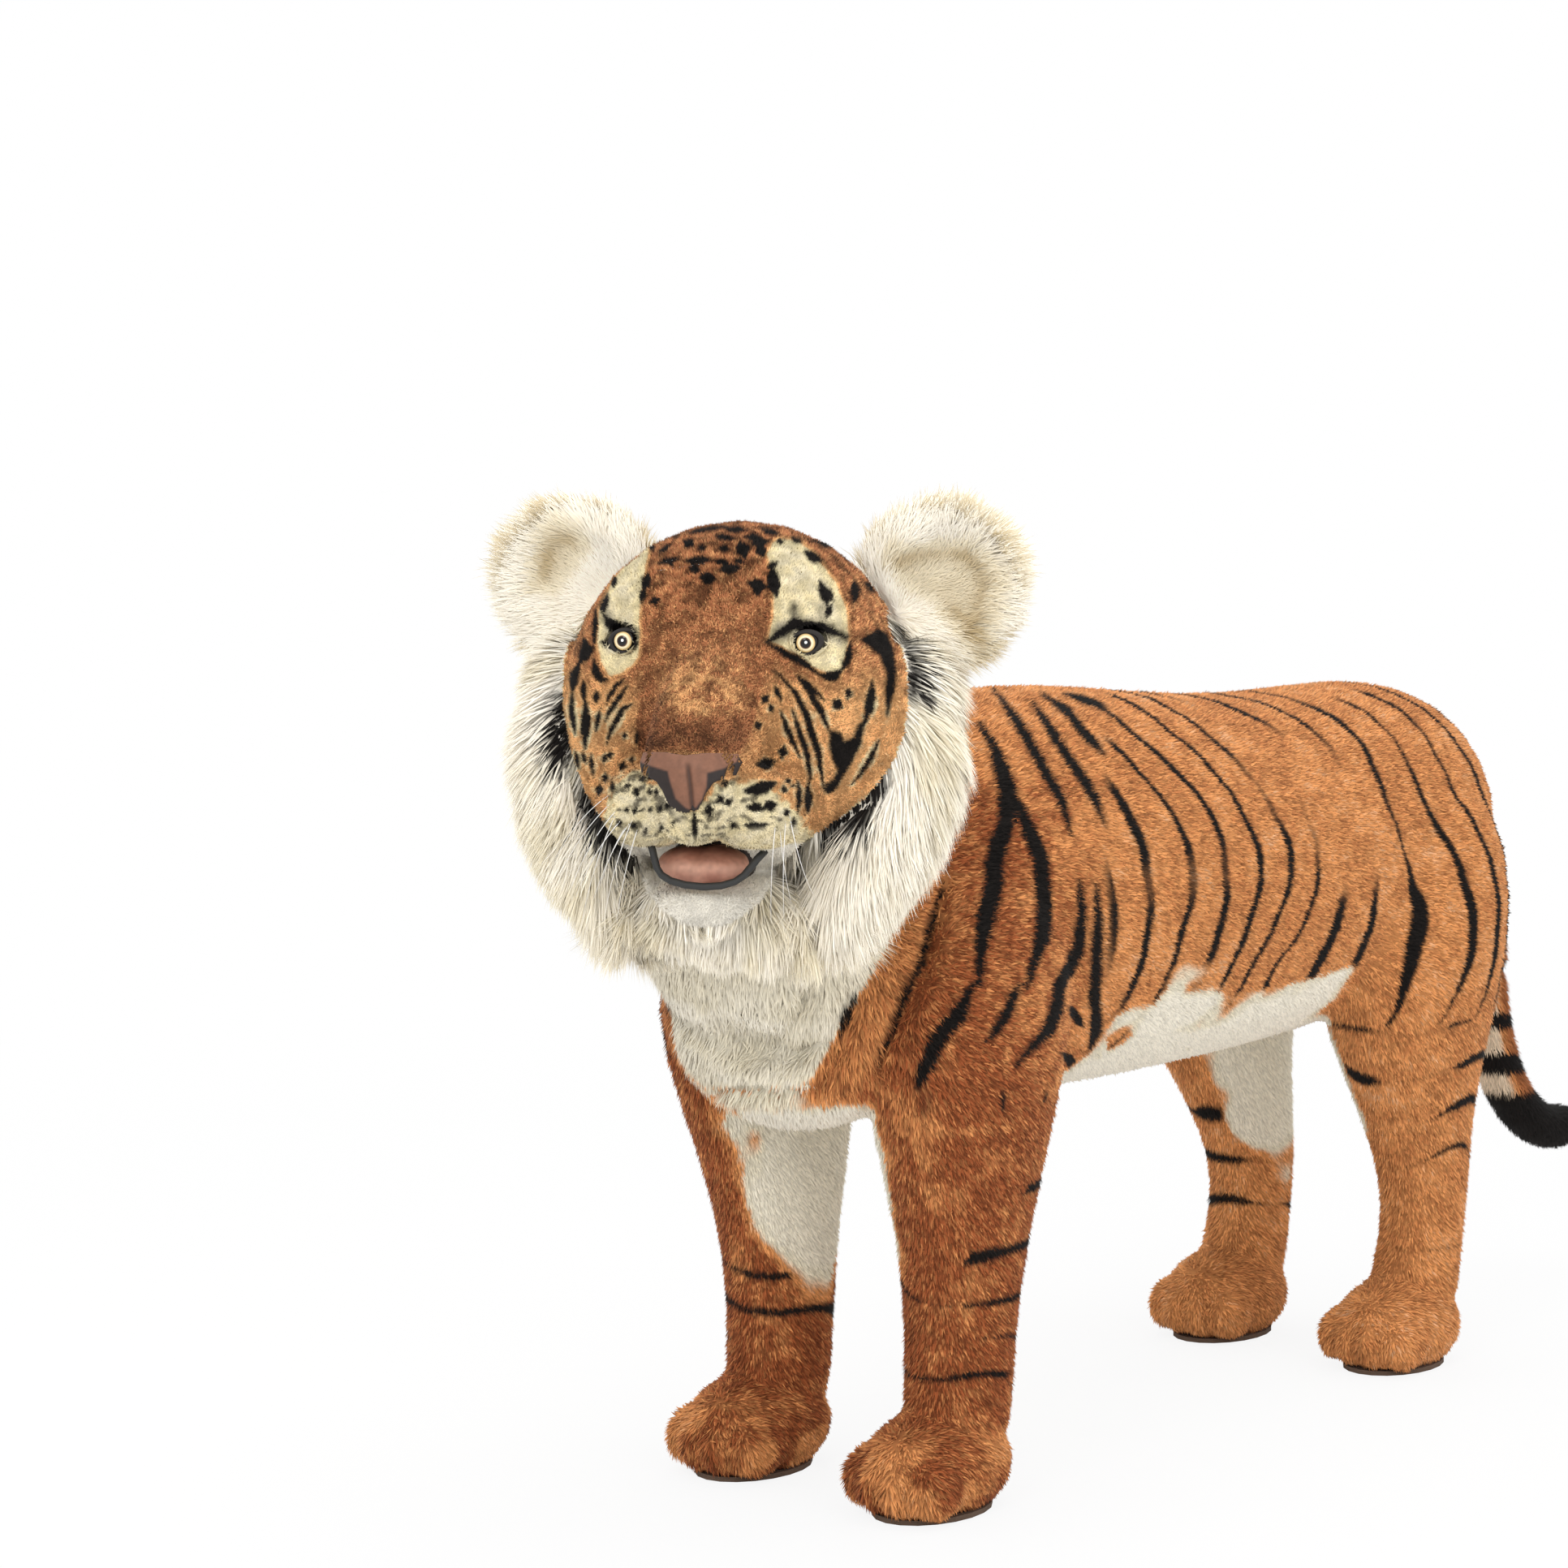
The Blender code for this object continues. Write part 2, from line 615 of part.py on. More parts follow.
def build_leg(row, side, sign, trunk, steel):
    """A stuffed leg, its paw with four toes, and its sole."""
    front = row == "front"
    shares = FRONT_LEG_SHARES if front else HIND_LEG_SHARES
    height = FRONT_LEG_HEIGHT if front else HIND_LEG_HEIGHT
    back = FRONT_LEG_BACK if front else HIND_LEG_BACK
    half_width = FRONT_LEG_HALF_WIDTH if front else HIND_LEG_HALF_WIDTH
    half_depth = FRONT_LEG_HALF_DEPTH if front else HIND_LEG_HALF_DEPTH
    middle = sign * LEG_SPACING / 2
    rings = []
    for up, out, shift, wide, deep in shares:
        place = Vector((middle + sign * half_width * out, back + half_depth * shift, height * up))
        rings.append((place, Vector((half_width * wide, 0, 0)), Vector((0, half_depth * deep, 0))))
    leg = soften(add(f"{row}_{side}_leg", loft(rings, 8), base, ORANGE))
    carve(leg, [trunk])

    paw_middle = back - PAW_LEAD
    paw = ball(
        f"{row}_{side}_paw", (PAW_HALF_WIDTH, PAW_HALF_LENGTH, PAW_HEIGHT * PAW_ROUND_SHARE),
        Vector((middle, paw_middle, PAW_HEIGHT * PAW_MIDDLE_SHARE)), base, ORANGE, segments=12, rows=7)
    for spread in TOE_PLACE_SHARES:
        reach = PAW_HALF_LENGTH * (TOE_REACH_SHARE - TOE_STEP_BACK_SHARE * spread * spread)
        out = spread * (PAW_HALF_WIDTH - TOE_RADIUS * TOE_SPREAD_SHARE)
        place = Vector((middle + out, paw_middle - reach, PAW_HEIGHT * TOE_HEIGHT_SHARE))
        toe_ball = ball("toe", [TOE_RADIUS * share for share in TOE_SHARES], place, base,
                        segments=6, rows=5)
        combine(paw, toe_ball, "UNION")
    floor = drum(
        "floor_cut", PAW_HALF_LENGTH * 2, -PAW_HEIGHT, SOLE_THICKNESS + FIT, (middle, paw_middle), base,
        sides=8)
    combine(paw, floor)

    sole_shape = bmesh.new()
    bmesh.ops.create_cone(
        sole_shape, cap_ends=True, segments=20, radius1=1.0, radius2=1.0, depth=1.0,
        matrix=Matrix.Translation((middle, paw_middle - PAW_HALF_LENGTH * SOLE_LEAD_SHARE, SOLE_THICKNESS / 2))
        @ Matrix.Diagonal((PAW_HALF_WIDTH * SOLE_SHARE, PAW_HALF_LENGTH * SOLE_SHARE, SOLE_THICKNESS, 1)))
    add(f"{row}_{side}_sole", sole_shape, base, SUEDE)

    carve(leg, [paw])
    names = [f"{row}_{side}_leg_rod", f"{row}_{side}_foot_plate"]
    clear_frame(leg, steel, names[:1])
    clear_frame(paw, steel, names)
    return leg


def build_neck():
    """The neck column and the space that the head needs round it."""
    def column(name, grow, finish, centred):
        rings = []
        for up, back, wide in NECK_SHARES:
            radius = NECK_RADIUS * wide + grow
            shift = NECK_RADIUS * back
            if centred:
                radius += shift
                shift = 0.0
            height = NECK_FOOT_HEIGHT + (NECK_TOP_HEIGHT - NECK_FOOT_HEIGHT) * up
            middle = Vector((0, shift, height + (grow if up == 1.0 else 0.0)))
            rings.append((middle, Vector((radius, 0, 0)), Vector((0, radius, 0))))
        return soften(add(name, loft(rings, 12), base, finish))

    neck = column("neck", 0.0, CREAM, False)
    space = column("neck_space", SOFT_TURN_FIT, None, True)
    return neck, space


def build_head(space):
    """The stuffed head: skull and the round back that turns on the neck."""
    head = face_form(
        "head", HEAD_SHARES, HEAD_DEPTH, -HEAD_BACK, HEAD_HALF_WIDTH, HEAD_HALF_HEIGHT, HEAD_HALF_HEIGHT,
        head_pivot, ORANGE, sides=12)
    occiput = ball(
        "occiput", (OCCIPUT_RADIUS, OCCIPUT_RADIUS, OCCIPUT_HALF_HEIGHT),
        Vector((0, 0, NECK_TOP_HEIGHT)), head_pivot, segments=24, rows=10)
    combine(head, occiput, "UNION")
    return head


def build_swivel():
    """Two discs and the bolt that lets the head turn."""
    low = NECK_TOP_HEIGHT
    neck_disc = drum(
        "neck_disc", NECK_DISC_RADIUS, low, low + DISC_THICKNESS, (0, 0), base, BOARD, sides=28)
    seat = low + DISC_THICKNESS + FIT
    head_disc = drum(
        "head_disc", DISC_RADIUS, seat, seat + DISC_THICKNESS, (0, 0), head_pivot, BOARD, sides=28)
    top = seat + DISC_THICKNESS + FIT
    bolt = drum(
        "swivel_bolt", BOLT_HEAD_RADIUS, top, top + BOLT_HEAD_HEIGHT, (0, 0), head_pivot, STEEL, sides=6)
    shank = drum("shank", BOLT_RADIUS, low - BOLT_GRIP, top + FIT, (0, 0), head_pivot, sides=12)
    combine(bolt, shank, "UNION")
    for disc in (neck_disc, head_disc):
        hole = drum("hole", BOLT_RADIUS + FIT, low - OVERRUN, top + OVERRUN, (0, 0), base, sides=16)
        combine(disc, hole)
    return neck_disc, head_disc, bolt


def build_eye(side, sign):
    """A glass eye with its shank, its lock washer and the rim about it."""
    place = head_point(sign * EYE_SPACING / 2, EYE_LEAD, EYE_RISE)
    eye = ball(f"eye_{side}", (EYE_RADIUS,) * 3, place, head_pivot, GLASS, segments=12, rows=8)
    back = Vector((0, 1, 0))
    shank = rod("shank", SHANK_RADIUS, place, place + back * SHANK_LENGTH, head_pivot, sides=8)
    combine(eye, shank, "UNION")
    seat = place + back * (SHANK_LENGTH * WASHER_SEAT_SHARE)
    washer = rod(
        f"eye_washer_{side}", WASHER_RADIUS, seat, seat + back * WASHER_THICKNESS, head_pivot, STEEL,
        sides=12)
    hole = rod(
        "washer_hole", SHANK_RADIUS + FIT, seat - back * OVERRUN,
        seat + back * (WASHER_THICKNESS + OVERRUN), head_pivot, sides=8)
    combine(washer, hole)

    lid = rod(
        f"eyelid_{side}", EYE_RADIUS + LID_THICKNESS, place - back * EYE_RADIUS * LID_FRONT_SHARE,
        place + back * EYE_RADIUS * LID_BACK_SHARE, head_pivot, DARK, sides=14)
    bore = rod(
        "lid_bore", EYE_RADIUS * LID_BORE_SHARE, place - back * EYE_RADIUS, place + back * EYE_RADIUS,
        head_pivot, sides=14)
    combine(lid, bore)
    carve(lid, [eye])
    return eye, washer, lid


def build_face(head):
    """Snout, nose leather, muzzle pads, jaw, mouth lining and tongue."""
    snout = face_form(
        "snout", SNOUT_SHARES, SNOUT_LENGTH, SNOUT_ROOT, SNOUT_HALF_WIDTH, SNOUT_HALF_HEIGHT,
        -SNOUT_DROP, head_pivot, RUST, sides=10)
    jaw = face_form(
        "lower_jaw", JAW_SHARES, JAW_LENGTH, 0.0, JAW_HALF_WIDTH, JAW_HALF_HEIGHT, -JAW_DROP,
        head_pivot, WHITE, sides=10)
    pads = []
    for side, sign in SIDES:
        pad = ball(
            f"muzzle_{side}", (MUZZLE_RADIUS, MUZZLE_RADIUS, MUZZLE_RADIUS * MUZZLE_HEIGHT_SHARE),
            head_point(sign * MUZZLE_SPACING / 2, MUZZLE_LEAD, -MUZZLE_DROP), head_pivot, WHITE,
            segments=14, rows=10)
        pads.append(pad)
        half = bmesh.new()
        reach = PAD_CUT_SIZE
        middle = -sign * (reach - FIT) / 2
        bmesh.ops.create_cube(
            half, size=1.0,
            matrix=Matrix.Translation((middle, *head_point(0, MUZZLE_LEAD, -MUZZLE_DROP)[1:]))
            @ Matrix.Diagonal((reach, reach, reach, 1)))
        combine(pad, add("half", half, head_pivot, None))

    lining = face_form(
        "mouth_lining", MOUTH_SHARES, MOUTH_DEPTH, MOUTH_ROOT, MOUTH_HALF_WIDTH, MOUTH_HALF_HEIGHT,
        -MOUTH_DROP, head_pivot, DARK, sides=8)
    tongue = face_form(
        "tongue", TONGUE_SHARES, TONGUE_LENGTH, MOUTH_ROOT + MOUTH_DEPTH - TONGUE_OVERLAP, TONGUE_HALF_WIDTH,
        TONGUE_HALF_HEIGHT, -TONGUE_DROP, head_pivot, PINK, sides=8)

    outline = [(across, down) for across, down in NOSE_OUTLINE_SHARES]
    outline += [(-across, down) for across, down in reversed(NOSE_OUTLINE_SHARES[1:-1])]
    plate = bmesh.new()
    back_lead = NOSE_REACH - NOSE_CROWN
    loop = [
        plate.verts.new(head_point(NOSE_WIDTH * across, back_lead, -NOSE_TOP - NOSE_HEIGHT * down))
        for across, down in outline]
    face = plate.faces.new(loop)
    grown = bmesh.ops.extrude_face_region(plate, geom=[face])
    moved = [item for item in grown["geom"] if isinstance(item, bmesh.types.BMVert)]
    bmesh.ops.translate(plate, verts=moved, vec=(0, -NOSE_CROWN - OVERRUN, 0))
    nose = add("nose_leather", plate, head_pivot, LEATHER)
    crown = ball(
        "crown",
        (NOSE_WIDTH * NOSE_CROWN_WIDE_SHARE, NOSE_CROWN, NOSE_HEIGHT * NOSE_CROWN_HIGH_SHARE),
        head_point(0, back_lead, -NOSE_TOP - NOSE_HEIGHT * NOSE_CROWN_DROP_SHARE), head_pivot,
        segments=20, rows=14)
    combine(nose, crown, "INTERSECT")
    seat([head, snout, jaw, *pads, lining, tongue, nose], 1)
    return snout, jaw, pads, lining, tongue, nose


def ruff_pad(name, shares, sign, sides=8):
    """One stuffed pad of the ruff along its arc round the face."""
    path = [
        head_point(sign * RUFF_HALF_WIDTH * across, RUFF_HALF_WIDTH * lead, RUFF_DROP * rise)
        for across, rise, lead, _ in shares]
    rings = []
    for number, (_, _, _, swell) in enumerate(shares):
        before = path[max(number - 1, 0)]
        after = path[min(number + 1, len(path) - 1)]
        run = (after - before).normalized()
        deep = Vector((0, 1, 0))
        deep = (deep - run * deep.dot(run)).normalized()
        out = run.cross(deep)
        rings.append((path[number], out * RUFF_RADIAL_HALF * swell, deep * RUFF_DEPTH_HALF * swell))
    return soften(add(name, loft(rings, sides), head_pivot, CREAM))


def build_ear(side, sign, head):
    """A cupped ear on a rolled root that turns in a groove in the head."""
    middle = head_point(sign * EAR_SPACING / 2, -EAR_SET_BACK, EAR_RISE)
    out = Vector((sign * math.sin(EAR_LEAN), 0, math.cos(EAR_LEAN)))
    along = Vector((-sign * math.cos(EAR_LEAN), 0, math.sin(EAR_LEAN)))
    front = Vector((0, -1, 0))
    turn = Matrix((
        (along.x, front.x, out.x, 0), (along.y, front.y, out.y, 0), (along.z, front.z, out.z, 0),
        (0, 0, 0, 1)))
    if turn.determinant() < 0:
        turn = turn @ Matrix.Diagonal((-1, 1, 1, 1))
    root = middle - out * EAR_ROOT_SINK
    pivot = empty(f"ear_{side}_pivot", root, head_pivot)
    local = middle - root
    ear = ball(
        f"ear_{side}", (EAR_HALF_WIDTH, EAR_HALF_THICKNESS, EAR_HALF_LENGTH), local, pivot, CREAM, turn,
        segments=16, rows=10)
    cup = ball(
        "cup",
        (EAR_HALF_WIDTH * EAR_CUP_SHARE, EAR_HALF_THICKNESS, EAR_HALF_LENGTH * EAR_CUP_SHARE),
        local + front * EAR_HALF_THICKNESS * EAR_CUP_FRONT_SHARE
        + out * EAR_HALF_LENGTH * EAR_CUP_RISE_SHARE, pivot, None, turn, segments=14, rows=8)
    combine(ear, cup)
    for share in EAR_SWING_SHARES:
        block = room(head, EAR_FIT)
        swing = Matrix.Rotation(EAR_SWING * share, 4, along)
        world_root = pivot.matrix_world @ Vector((0, 0, 0))
        head_turn = head_pivot.matrix_world.to_3x3().to_4x4()
        spin = head_turn @ swing @ head_turn.inverted()
        about = Matrix.Translation(world_root) @ spin @ Matrix.Translation(-world_root)
        block.matrix_world = about @ block.matrix_world
        bpy.context.view_layer.update()
        combine(ear, block)
    half = along * (EAR_ROOT_LENGTH / 2)
    roll = rod("roll", EAR_ROOT_RADIUS, -half, half, pivot, sides=16)
    combine(ear, roll, "UNION")
    reach = along * TURN_FIT
    groove = rod(
        "groove", EAR_ROOT_RADIUS + TURN_FIT, root - half - reach, root + half + reach, head_pivot,
        sides=16)
    combine(head, groove)
    return ear, pivot, along


def build_tail(trunk):
    """Two lengths of tail on round ends that turn in sockets."""
    root = Vector((0, TAIL_ROOT_BACK, TAIL_ROOT_HEIGHT))
    pivot = empty("tail_pivot", root, base)
    tail = tail_form(
        "tail_base", TAIL_BASE_SHARES, TAIL_REACH, TAIL_FALL, TAIL_RADIUS, pivot, RUST, 0.0, 0.0)
    across = Matrix.Rotation(math.pi / 2, 4, "Y")
    girth = TAIL_RADIUS * TAIL_KNOB_SHARE
    knob = ball("knob", (girth,) * 3, Vector((0, 0, 0)), pivot, None, across, 24, 6)
    combine(tail, knob, "UNION")
    socket = ball("socket", (girth + TURN_FIT,) * 3, root, base, None, across, 24, 6)
    combine(trunk, socket)

    joint = Vector((0, TAIL_REACH, -TAIL_FALL))
    tip_pivot = empty("tail_tip_pivot", joint, pivot)
    tip = tail_form(
        "tail_tip", TAIL_TIP_SHARES, TAIL_TIP_REACH, TAIL_TIP_FALL, TAIL_RADIUS, tip_pivot, DARK, 0.0, 0.0)
    girth = TAIL_RADIUS * TAIL_MID_KNOB_SHARE
    knob = ball("knob", (girth,) * 3, Vector((0, 0, 0)), tip_pivot, None, across, 24, 6)
    combine(tip, knob, "UNION")
    socket = ball("socket", (girth + TURN_FIT,) * 3, joint, pivot, None, across, 24, 6)
    combine(tail, socket)
    return tail, tip, pivot, tip_pivot


def merge_flat(piece):
    """Join the flat scraps that cutting leaves into whole triangles."""
    shape = bmesh.new()
    shape.from_mesh(piece.data)
    bmesh.ops.dissolve_limit(shape, angle_limit=FLAT_ANGLE, verts=shape.verts, edges=shape.edges)
    bmesh.ops.triangulate(shape, faces=shape.faces)
    shape.to_mesh(piece.data)
    shape.free()


steel = build_frame()
trunk = long_form(
    "trunk", TRUNK_SHARES, TRUNK_LENGTH, -TRUNK_LEAD, TRUNK_HALF_WIDTH, TRUNK_HALF_HEIGHT,
    TRUNK_AXIS_HEIGHT, base, ORANGE, sides=12)
neck, space = build_neck()
head = build_head(space)
carve(neck, [trunk])
combine(trunk, ball(
    "head_sweep", (OCCIPUT_RADIUS + SOFT_TURN_FIT, OCCIPUT_RADIUS + SOFT_TURN_FIT,
                   OCCIPUT_HALF_HEIGHT + SOFT_TURN_FIT),
    Vector((0, 0, NECK_TOP_HEIGHT)), base, segments=24, rows=10))
top_cut = drum(
    "neck_top_cut", NECK_RADIUS, NECK_TOP_HEIGHT - FIT, NECK_TOP_HEIGHT + NECK_RADIUS, (0, 0), base)
combine(neck, top_cut)
tail, tail_tip, tail_pivot, tail_tip_pivot = build_tail(trunk)
legs = []
for row in ("front", "hind"):
    for side, sign in SIDES:
        legs.append(build_leg(row, side, sign, trunk, steel))
clear_frame(trunk, steel, [name for name in steel if not name.endswith("foot_plate")])
clear_frame(neck, steel, ["neck_post"])
bore_post(steel["neck_post"])

face_pieces = build_face(head)
snout, jaw, pads, lining, tongue, nose = face_pieces
ears = {}
for side, sign in SIDES:
    ears[side] = build_ear(side, sign, head)
neck_disc, head_disc, bolt = build_swivel()
stack_top = NECK_TOP_HEIGHT + DISC_THICKNESS + FIT + DISC_THICKNESS + FIT
pocket_top = stack_top + BOLT_HEAD_HEIGHT + FIT
pocket = drum("pocket", DISC_RADIUS + FIT, NECK_TOP_HEIGHT - POCKET_DROP, stack_top, (0, 0), head_pivot,
              sides=28)
bolt_pocket = drum("bolt_pocket", BOLT_HEAD_RADIUS + FIT, NECK_TOP_HEIGHT, pocket_top, (0, 0), head_pivot)
combine(head, pocket)
combine(head, bolt_pocket)
for side, sign in SIDES:
    eye, washer, lid = build_eye(side, sign)
    carve(head, [eye, washer, lid])
ruffs = []
for side, sign in SIDES:
    ruffs.append(ruff_pad(f"ruff_{side}", RUFF_SIDE_SHARES, sign))
throat = ruff_pad("ruff_throat", RUFF_THROAT_SHARES, 1)
seat([head, jaw, *ruffs, throat], 2)
for piece in (head, jaw, lining, *ruffs, throat):
    tool = room(space, 0.0, base)
    combine(piece, tool)
bpy.data.objects.remove(space, do_unlink=True)

pieces = [piece for piece in part_collection.objects if piece.type == "MESH"]
for piece in pieces:
    merge_flat(piece)

# Set the part over the origin: the middle of its box, on the floor
bpy.context.view_layer.update()
corners = [piece.matrix_world @ vert.co for piece in pieces for vert in piece.data.vertices]
low = Vector([min(corner[axis] for corner in corners) for axis in range(3)])
high = Vector([max(corner[axis] for corner in corners) for axis in range(3)])
base.location = (-(low.x + high.x) / 2, -(low.y + high.y) / 2, -low.z)
bpy.context.view_layer.update()

print("box", [round(value, 4) for value in high - low])
for pivot in (head_pivot, ears["left"][1], ears["right"][1], tail_pivot, tail_tip_pivot):
    print(pivot.name, [round(value, 5) for value in pivot.matrix_world.translation])
for side in ("left", "right"):
    axis = head_pivot.matrix_world.to_3x3() @ ears[side][2]
    print("ear axis", side, [round(value, 5) for value in axis])
for piece in pieces:
    triangles = sum(len(face.vertices) - 2 for face in piece.data.polygons)
    print("piece", piece.name, triangles)
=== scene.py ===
import json
import math
import bpy
import numpy as np
from mathutils import Matrix, Vector
from mathutils.bvhtree import BVHTree


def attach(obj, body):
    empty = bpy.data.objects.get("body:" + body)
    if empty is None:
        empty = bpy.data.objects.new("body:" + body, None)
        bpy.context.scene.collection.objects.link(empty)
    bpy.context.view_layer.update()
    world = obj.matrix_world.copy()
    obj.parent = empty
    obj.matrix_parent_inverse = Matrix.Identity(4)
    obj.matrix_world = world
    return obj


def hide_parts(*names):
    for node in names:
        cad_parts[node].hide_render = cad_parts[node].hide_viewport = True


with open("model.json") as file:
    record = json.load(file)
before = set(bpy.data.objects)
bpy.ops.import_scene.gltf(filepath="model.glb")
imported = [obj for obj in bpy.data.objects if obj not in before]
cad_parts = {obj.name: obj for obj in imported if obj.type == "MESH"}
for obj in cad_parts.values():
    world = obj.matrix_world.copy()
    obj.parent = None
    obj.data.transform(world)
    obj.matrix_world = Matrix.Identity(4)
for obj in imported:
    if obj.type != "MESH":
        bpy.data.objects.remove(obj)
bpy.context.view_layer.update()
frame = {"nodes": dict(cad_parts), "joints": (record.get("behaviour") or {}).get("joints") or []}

nodes = frame["nodes"]
swivel = next(joint for joint in frame["joints"] if joint["name"] == "head_turn")["pos_m"]
centreLine = swivel[0]  # x of the body's middle plane
headYaw = math.radians(29.0)
headMiddle = np.array((swivel[0] + 0.13 * math.sin(headYaw), swivel[1] - 0.13 * math.cos(headYaw), 0.80))
sideAxis = np.array((math.cos(headYaw), math.sin(headYaw), 0.0))
frontAxis = np.array((math.sin(headYaw), -math.cos(headYaw), 0.0))
upAxis = np.array((0.0, 0.0, 1.0))


# camera

view = {
    "turn": 42.0, "rise": 5.0, "focal": 4800.0, "pixels": 1932.0, "distance": 3.6, "across": 0.045,
    "down": 0.0795}  # degrees, pixels and metres
photoMiddle = view["pixels"] / 2
camTurn, camRise = math.radians(view["turn"]), math.radians(view["rise"])
camRight = np.array((math.cos(camTurn), math.sin(camTurn), 0.0))
camForward = np.array((
    -math.sin(camTurn) * math.cos(camRise), math.cos(camTurn) * math.cos(camRise), -math.sin(camRise)))
camUp = np.array((
    -math.sin(camTurn) * math.sin(camRise), math.cos(camTurn) * math.sin(camRise), math.cos(camRise)))
camPlace = headMiddle - view["distance"] * camForward + view["across"] * camRight - view["down"] * camUp
cameraData = bpy.data.cameras.new("camera")
camera = bpy.data.objects.new("camera", cameraData)
bpy.context.scene.collection.objects.link(camera)
bpy.context.scene.camera = camera
cameraData.sensor_width = 36.0
cameraData.lens = view["focal"] / view["pixels"] * cameraData.sensor_width
cameraData.clip_end = 200.0
camera.matrix_world = Matrix((
    (camRight[0], camUp[0], -camForward[0], camPlace[0]),
    (camRight[1], camUp[1], -camForward[1], camPlace[1]),
    (camRight[2], camUp[2], -camForward[2], camPlace[2]), (0, 0, 0, 1)))


# helpers for points

def toPhoto(points):
    ray = points - camPlace
    depth = ray @ camForward
    across, up = view["focal"] * (ray @ camRight) / depth, view["focal"] * (ray @ camUp) / depth
    return np.stack((photoMiddle + across, photoMiddle - up), 1)


def pixelRay(spot):
    across, down = (spot[0] - photoMiddle) / view["focal"], (spot[1] - photoMiddle) / view["focal"]
    return camForward + camRight * across - camUp * down


def facing(points, normals):  # 1 towards the camera
    ray = camPlace - points
    ray /= np.linalg.norm(ray, axis=1)[:, None]
    return (ray * normals).sum(1)


def toHead(points):  # left of the tiger, ahead, up; from the middle of the head
    local = points - headMiddle
    return np.stack((local @ sideAxis, local @ frontAxis, local[:, 2]), 1)


def fromHead(local):
    local = np.asarray(local, float).reshape(-1, 3)
    return headMiddle + local[:, :1] * sideAxis + local[:, 1:2] * frontAxis + local[:, 2:] * upAxis


def turnHead(vectors):  # directions from head axes to world axes
    return vectors[:, :1] * sideAxis + vectors[:, 1:2] * frontAxis + vectors[:, 2:] * upAxis


def unit(vectors):
    return vectors / np.maximum(np.linalg.norm(vectors, axis=1), 1e-9)[:, None]


def smooth(low, high, values):
    share = np.clip((values - low) / (high - low), 0, 1)
    return share * share * (3 - 2 * share)


def hashed(cells, seed):
    mixed = (cells[:, 0] * 73856093) ^ (cells[:, 1] * 19349663) ^ (cells[:, 2] * 83492791) ^ (seed * 2654435)
    mixed = (mixed ^ (mixed >> 13)) * 1274126177
    return ((mixed ^ (mixed >> 16)) & 65535) / 65535.0


def cloud(points, size, seed):  # soft noise from 0 to 1
    spot = points / size
    base = np.floor(spot).astype(np.int64)
    part = spot - base
    part = part * part * (3 - 2 * part)
    total = np.zeros(len(points))
    for corner in range(8):
        offset = np.array((corner & 1, corner >> 1 & 1, corner >> 2 & 1))
        weight = np.abs(1 - offset - part).prod(1)
        total += weight * hashed(base + offset, seed)
    return total


def lineDistance(spots, line):  # distance to a stroke and place along it from 0 to 1
    line = np.array(line, float)
    best = np.full(len(spots), 1e9)
    place = np.zeros(len(spots))
    steps = np.linalg.norm(np.diff(line, axis=0), axis=1)
    ends = np.concatenate(((0,), np.cumsum(steps))) / max(steps.sum(), 1e-9)
    for step in range(len(line) - 1):
        start, along = line[step], line[step + 1] - line[step]
        share = np.clip(((spots - start) @ along) / max(along @ along, 1e-9), 0, 1)
        gap = np.linalg.norm(spots - start - share[:, None] * along, axis=1)
        near = gap < best
        best = np.where(near, gap, best)
        place = np.where(near, ends[step] + share * (ends[step + 1] - ends[step]), place)
    return best, place


def stroke(spots, line, width, ends=0.35):  # 1 on the stroke, 0 off it
    line = np.array(line, float)
    low, high = line.min(0) - width, line.max(0) + width
    mask = np.zeros(len(spots))
    near = ((spots > low) & (spots < high)).all(1)
    if near.any():
        gap, place = lineDistance(spots[near], line)
        taper = np.minimum(1, np.minimum(place, 1 - place) / ends * 0.7 + 0.3)
        mask[near] = 1 - smooth(-1.0, 1.0, gap - width / 2 * taper)
    return mask


def patch(spots, outline, soft=2.0):  # 1 inside a closed outline
    outline = np.array(outline, float)
    low, high = outline.min(0) - soft, outline.max(0) + soft
    mask = np.zeros(len(spots))
    near = ((spots > low) & (spots < high)).all(1)
    if near.any():
        x, y = spots[near].T
        inside = np.zeros(near.sum(), bool)
        for (ax, ay), (bx, by) in zip(outline, np.roll(outline, -1, axis=0)):
            crosses = (ay > y) != (by > y)
            inside ^= crosses & (x < (bx - ax) * (y - ay) / (by - ay + 1e-12) + ax)
        gap, _ = lineDistance(spots[near], np.vstack((outline, outline[:1])))
        mask[near] = smooth(-soft, soft, np.where(inside, gap, -gap))
    return mask


# helpers for meshes

def meshObject(name, points, faces):
    mesh = bpy.data.meshes.new(name)
    made = bpy.data.objects.new(name, mesh)
    bpy.context.scene.collection.objects.link(made)
    faces = np.asarray(faces, np.int32)
    size = faces.shape[1]
    mesh.vertices.add(len(points))
    mesh.vertices.foreach_set("co", np.asarray(points, np.float32).ravel())
    mesh.loops.add(faces.size)
    mesh.loops.foreach_set("vertex_index", faces.ravel())
    mesh.polygons.add(len(faces))
    mesh.polygons.foreach_set("loop_start", np.arange(len(faces), dtype=np.int32) * size)
    mesh.update(calc_edges=True)
    mesh.polygons.foreach_set("use_smooth", np.ones(len(faces), bool))
    return made


def meshArrays(mesh):
    points = np.empty(len(mesh.vertices) * 3, np.float32)
    mesh.vertices.foreach_get("co", points)
    mesh.calc_loop_triangles()
    tris = np.empty(len(mesh.loop_triangles) * 3, np.int32)
    mesh.loop_triangles.foreach_get("vertices", tris)
    return points.reshape(-1, 3).astype(float), tris.reshape(-1, 3)


